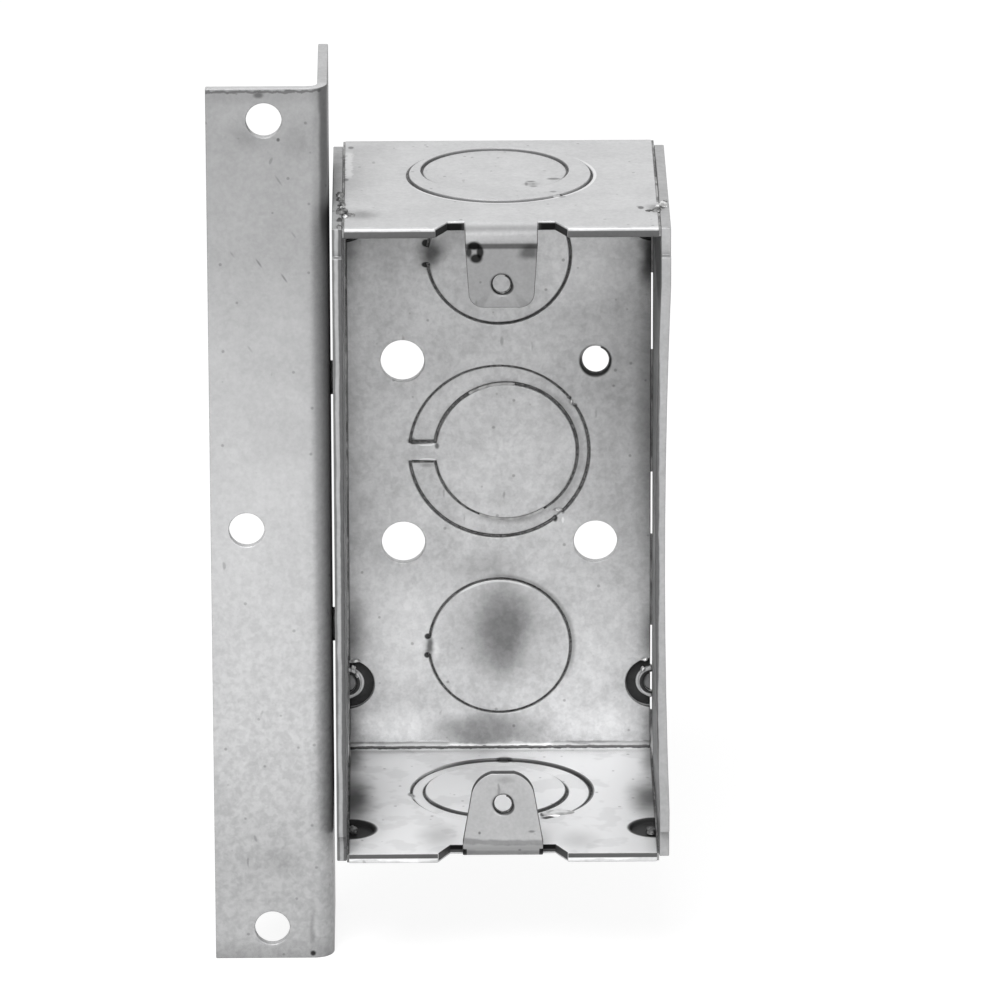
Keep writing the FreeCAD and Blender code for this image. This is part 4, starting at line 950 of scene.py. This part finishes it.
class HANDYBOX_OT_lips(Operator):
    """Raise the bright torn lips at the ties of the knockouts; the lighter arcs in the back disc's sheared line are
    painted highlights
    """

    bl_idname = "handybox.lips"
    bl_label = "Torn lips"

    def execute(self, context):
        k = context.scene.handybox_knockouts
        bright = torn_steel_with_painted_shade("rubbed_and_highlit lip", 0.5, 0.85, 0.35, 0.5, 0.3, 1.4, 0.1)
        back = back_wall()
        face = BACK_FACE / MM
        ring = k.large / 2 / MM
        mesh = bmesh.new()
        for degrees, inset, wide, tall in ((35.5, 0.35, 0.3, 0.45), (-46.6, 0.9, 0.7, 0.25)):
            spot = back.outward(degrees) * (ring - inset)
            nugget(mesh, (spot.x, face + 0.05, spot.z), (wide, 0.3, tall), 1.2, 0.2, degrees)
        nugget(mesh, (8.9, -30.0, FLOOR_FACE / MM - 0.25), (2.7, 1.3, 0.5), 0.9, 0.0, 40.0)
        # Lighter, shallower webs in the top and bottom of the back disc's sheared line: painted highlights.
        arcs = bmesh.new()
        for first, last in ((-112.0, -58.0), (83.0, 121.0)):
            path = [(point + up * 0.3 * MM, across, up) for point, across, up in arc_path(
                back, k.disc_right, 0.0, (k.small - k.slit) / 2, first, last)]
            web(arcs, path, k.slit / 2 + 0.02 * MM, k.web, first)
        new_piece("rubbed_and_highlit_arcs", arcs, torn_steel_with_painted_shade("rubbed_and_highlit arc", 0.28, 0.46, 0.45, 0.5, 0.3, 1.4, 0.1))
        new_piece("torn_lips", mesh, bright)
        return {"FINISHED"}


class HANDYBOX_OT_threads(Operator):
    """Cut the threads of the ear holes and of the earth hole"""

    bl_idname = "handybox.threads"
    bl_label = "Threads"

    def execute(self, context):
        # The threads are dark steel: partly their own colour, partly painted shade inside the bores.
        steel = torn_steel_with_painted_shade("thread steel and painted shade", 0.08, 0.2, 0.4, 0.8, 0.6)
        hole_span = 41.67 * MM
        ear = Wall((0.0, FRONT + 1.0 * MM + SHEET / 2, 0.0), (1.0, 0.0, 0.0), (0.0, 0.0, 1.0))
        for name, wall, x, y, bore in (
                ("top_ear_thread", ear, 0.0, hole_span, 2.9 * MM),
                ("bottom_ear_thread", ear, 0.0, -hole_span, 2.9 * MM),
                ("earth_thread", back_wall(), 15.0 * MM, 14.9 * MM, 4.4 * MM)):
            mesh = bmesh.new()
            thread(mesh, wall, x, y, bore / 2, 0.79 * MM)
            new_piece(name, mesh, steel)
        return {"FINISHED"}


def thread(mesh, wall, x, y, radius, pitch):
    """A ridge that winds through the sheet inside a bore."""
    ridge, foot = 0.14 * MM, 0.28 * MM
    turns = (SHEET - 2 * foot) / pitch
    count = int(turns * 40)
    stations = []
    for step in range(count + 1):
        outward = wall.outward(360.0 * turns * step / count)
        base = wall.at(x, y, (SHEET - 2 * foot) * (step / count - 0.5))
        stations.append([base + outward * (radius - ridge),
                         base + outward * (radius + 0.05 * MM) + wall.facing * foot,
                         base + outward * (radius + 0.05 * MM) - wall.facing * foot])
    sweep(mesh, stations)


class HANDYBOX_OT_stage(Operator):
    """Set up the floor, the lamps and the camera"""

    bl_idname = "handybox.stage"
    bl_label = "Stage"

    def execute(self, context):
        stage = context.scene.handybox_stage
        make_floor()
        make_room(context.scene, stage)
        make_lamp("key lamp", (-0.35, -1.15, 1.45), 1.0, stage.key_power)
        make_lamp("fill lamp", (0.25, -1.8, 0.45), 1.2, stage.fill_power)
        make_camera(context.scene, stage)
        context.scene.view_settings.view_transform = "Standard"
        return {"FINISHED"}


def make_floor():
    floor_reach = 3.5
    bpy.ops.mesh.primitive_circle_add(
        vertices=96, radius=floor_reach, fill_type="NGON", location=(0.0, 0.0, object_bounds()[0].z))
    floor = bpy.context.object
    floor.name = "pale floor"
    f = Finish("floor white")
    f.put(f.shader.inputs["Base Color"], (0.22, 0.22, 0.22, 1.0))
    f.put(f.shader.inputs["Roughness"], 1.0)
    f.put(f.shader.inputs["Specular IOR Level"], 0.0)
    f.put(f.shader.inputs["Emission Color"], (1.0, 1.0, 1.0, 1.0))
    f.put(f.shader.inputs["Emission Strength"], f.math("Paper glow", "MULTIPLY", seen_rays(f), 0.87))
    floor.data.materials.append(f.material)
    floor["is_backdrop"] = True


def seen_rays(f):
    """One where the camera, a reflection or glass looks at a surface, and zero for its light."""
    rays = f.add("ShaderNodeLightPath", "Rays")
    either = f.math("Seen or reflected", "MAXIMUM", rays.outputs["Is Camera Ray"], rays.outputs["Is Glossy Ray"])
    return f.math("Or through glass", "MAXIMUM", either, rays.outputs["Is Transmission Ray"])


def make_room(scene, stage):
    world = bpy.data.worlds.new("white room")
    world.use_nodes = True
    tree = world.node_tree
    glow = tree.nodes["Background"]
    glow.inputs["Color"].default_value = (1.0, 1.0, 1.0, 1.0)
    rays = tree.nodes.new("ShaderNodeLightPath")
    seen = rays.outputs["Is Camera Ray"]
    for output in ("Is Glossy Ray", "Is Transmission Ray"):
        either = tree.nodes.new("ShaderNodeMath")
        either.operation = "MAXIMUM"
        tree.links.new(seen, either.inputs[0])
        tree.links.new(rays.outputs[output], either.inputs[1])
        seen = either.outputs[0]
    strength = tree.nodes.new("ShaderNodeMapRange")
    tree.links.new(seen, strength.inputs["Value"])
    strength.inputs["To Min"].default_value = stage.ambient
    strength.inputs["To Max"].default_value = 1.0
    tree.links.new(strength.outputs[0], glow.inputs["Strength"])
    scene.world = world


def make_lamp(name, place, size, power):
    lamp = bpy.data.lights.new(name, "AREA")
    lamp.shape = "DISK"
    lamp.size = size
    lamp.energy = power
    holder = bpy.data.objects.new(name, lamp)
    holder.location = place
    holder.rotation_mode = "QUATERNION"
    holder.rotation_quaternion = (-Vector(place)).to_track_quat("-Z", "Y")
    bpy.context.scene.collection.objects.link(holder)


def make_camera(scene, stage):
    """Stands the camera where the photograph was taken from."""
    camera = bpy.data.cameras.new("photo camera")
    camera.sensor_width = 36.0
    camera.lens = stage.lens
    camera.clip_start = 0.1
    camera.clip_end = 20.0
    back = Vector((math.sin(stage.azimuth) * math.cos(stage.elevation),
                   -math.cos(stage.azimuth) * math.cos(stage.elevation),
                   math.sin(stage.elevation)))
    right = (-back).cross(Vector((0.0, 0.0, 1.0))).normalized()
    up = right.cross(-back).normalized()
    rolled_right = math.cos(stage.roll) * right + math.sin(stage.roll) * up
    rolled_up = math.cos(stage.roll) * up - math.sin(stage.roll) * right
    turn = Matrix((rolled_right, rolled_up, back)).transposed().to_4x4()
    holder = bpy.data.objects.new("photo camera", camera)
    holder.matrix_world = Matrix.Translation(Vector(stage.aim) + stage.distance * back) @ turn
    scene.collection.objects.link(holder)
    scene.camera = holder


class HANDYBOX_PT_panel(Panel):
    bl_idname = "HANDYBOX_PT_panel"
    bl_label = "Handy Box"
    bl_space_type = "VIEW_3D"
    bl_region_type = "UI"
    bl_category = "Handy Box"

    def draw(self, context):
        for name in SETTINGS:
            group = getattr(context.scene, name)
            column = self.layout.column()
            for setting in group.__annotations__:
                column.prop(group, setting)
        for operator in OPERATORS:
            self.layout.operator(operator.bl_idname)


SETTINGS = {
    "handybox_zinc": ZincSettings,
    "handybox_knockouts": KnockoutSettings,
    "handybox_welds": WeldSettings,
    "handybox_stage": StageSettings,
}
OPERATORS = (HANDYBOX_OT_body, HANDYBOX_OT_plates, HANDYBOX_OT_bracket, HANDYBOX_OT_webs,
             HANDYBOX_OT_welds, HANDYBOX_OT_lips, HANDYBOX_OT_threads, HANDYBOX_OT_stage)


def register():
    for name, group in SETTINGS.items():
        bpy.utils.register_class(group)
        setattr(bpy.types.Scene, name, PointerProperty(type=group))
    for cls in (*OPERATORS, HANDYBOX_PT_panel):
        bpy.utils.register_class(cls)


def unregister():
    for cls in reversed((*OPERATORS, HANDYBOX_PT_panel)):
        bpy.utils.unregister_class(cls)
    for name, group in SETTINGS.items():
        delattr(bpy.types.Scene, name)
        bpy.utils.unregister_class(group)


def main():
    register()
    bpy.ops.handybox.body()
    bpy.ops.handybox.plates()
    bpy.ops.handybox.bracket()
    bpy.ops.handybox.webs()
    bpy.ops.handybox.welds()
    bpy.ops.handybox.lips()
    bpy.ops.handybox.threads()
    bpy.ops.handybox.stage()


if __name__ == "__main__":
    main()
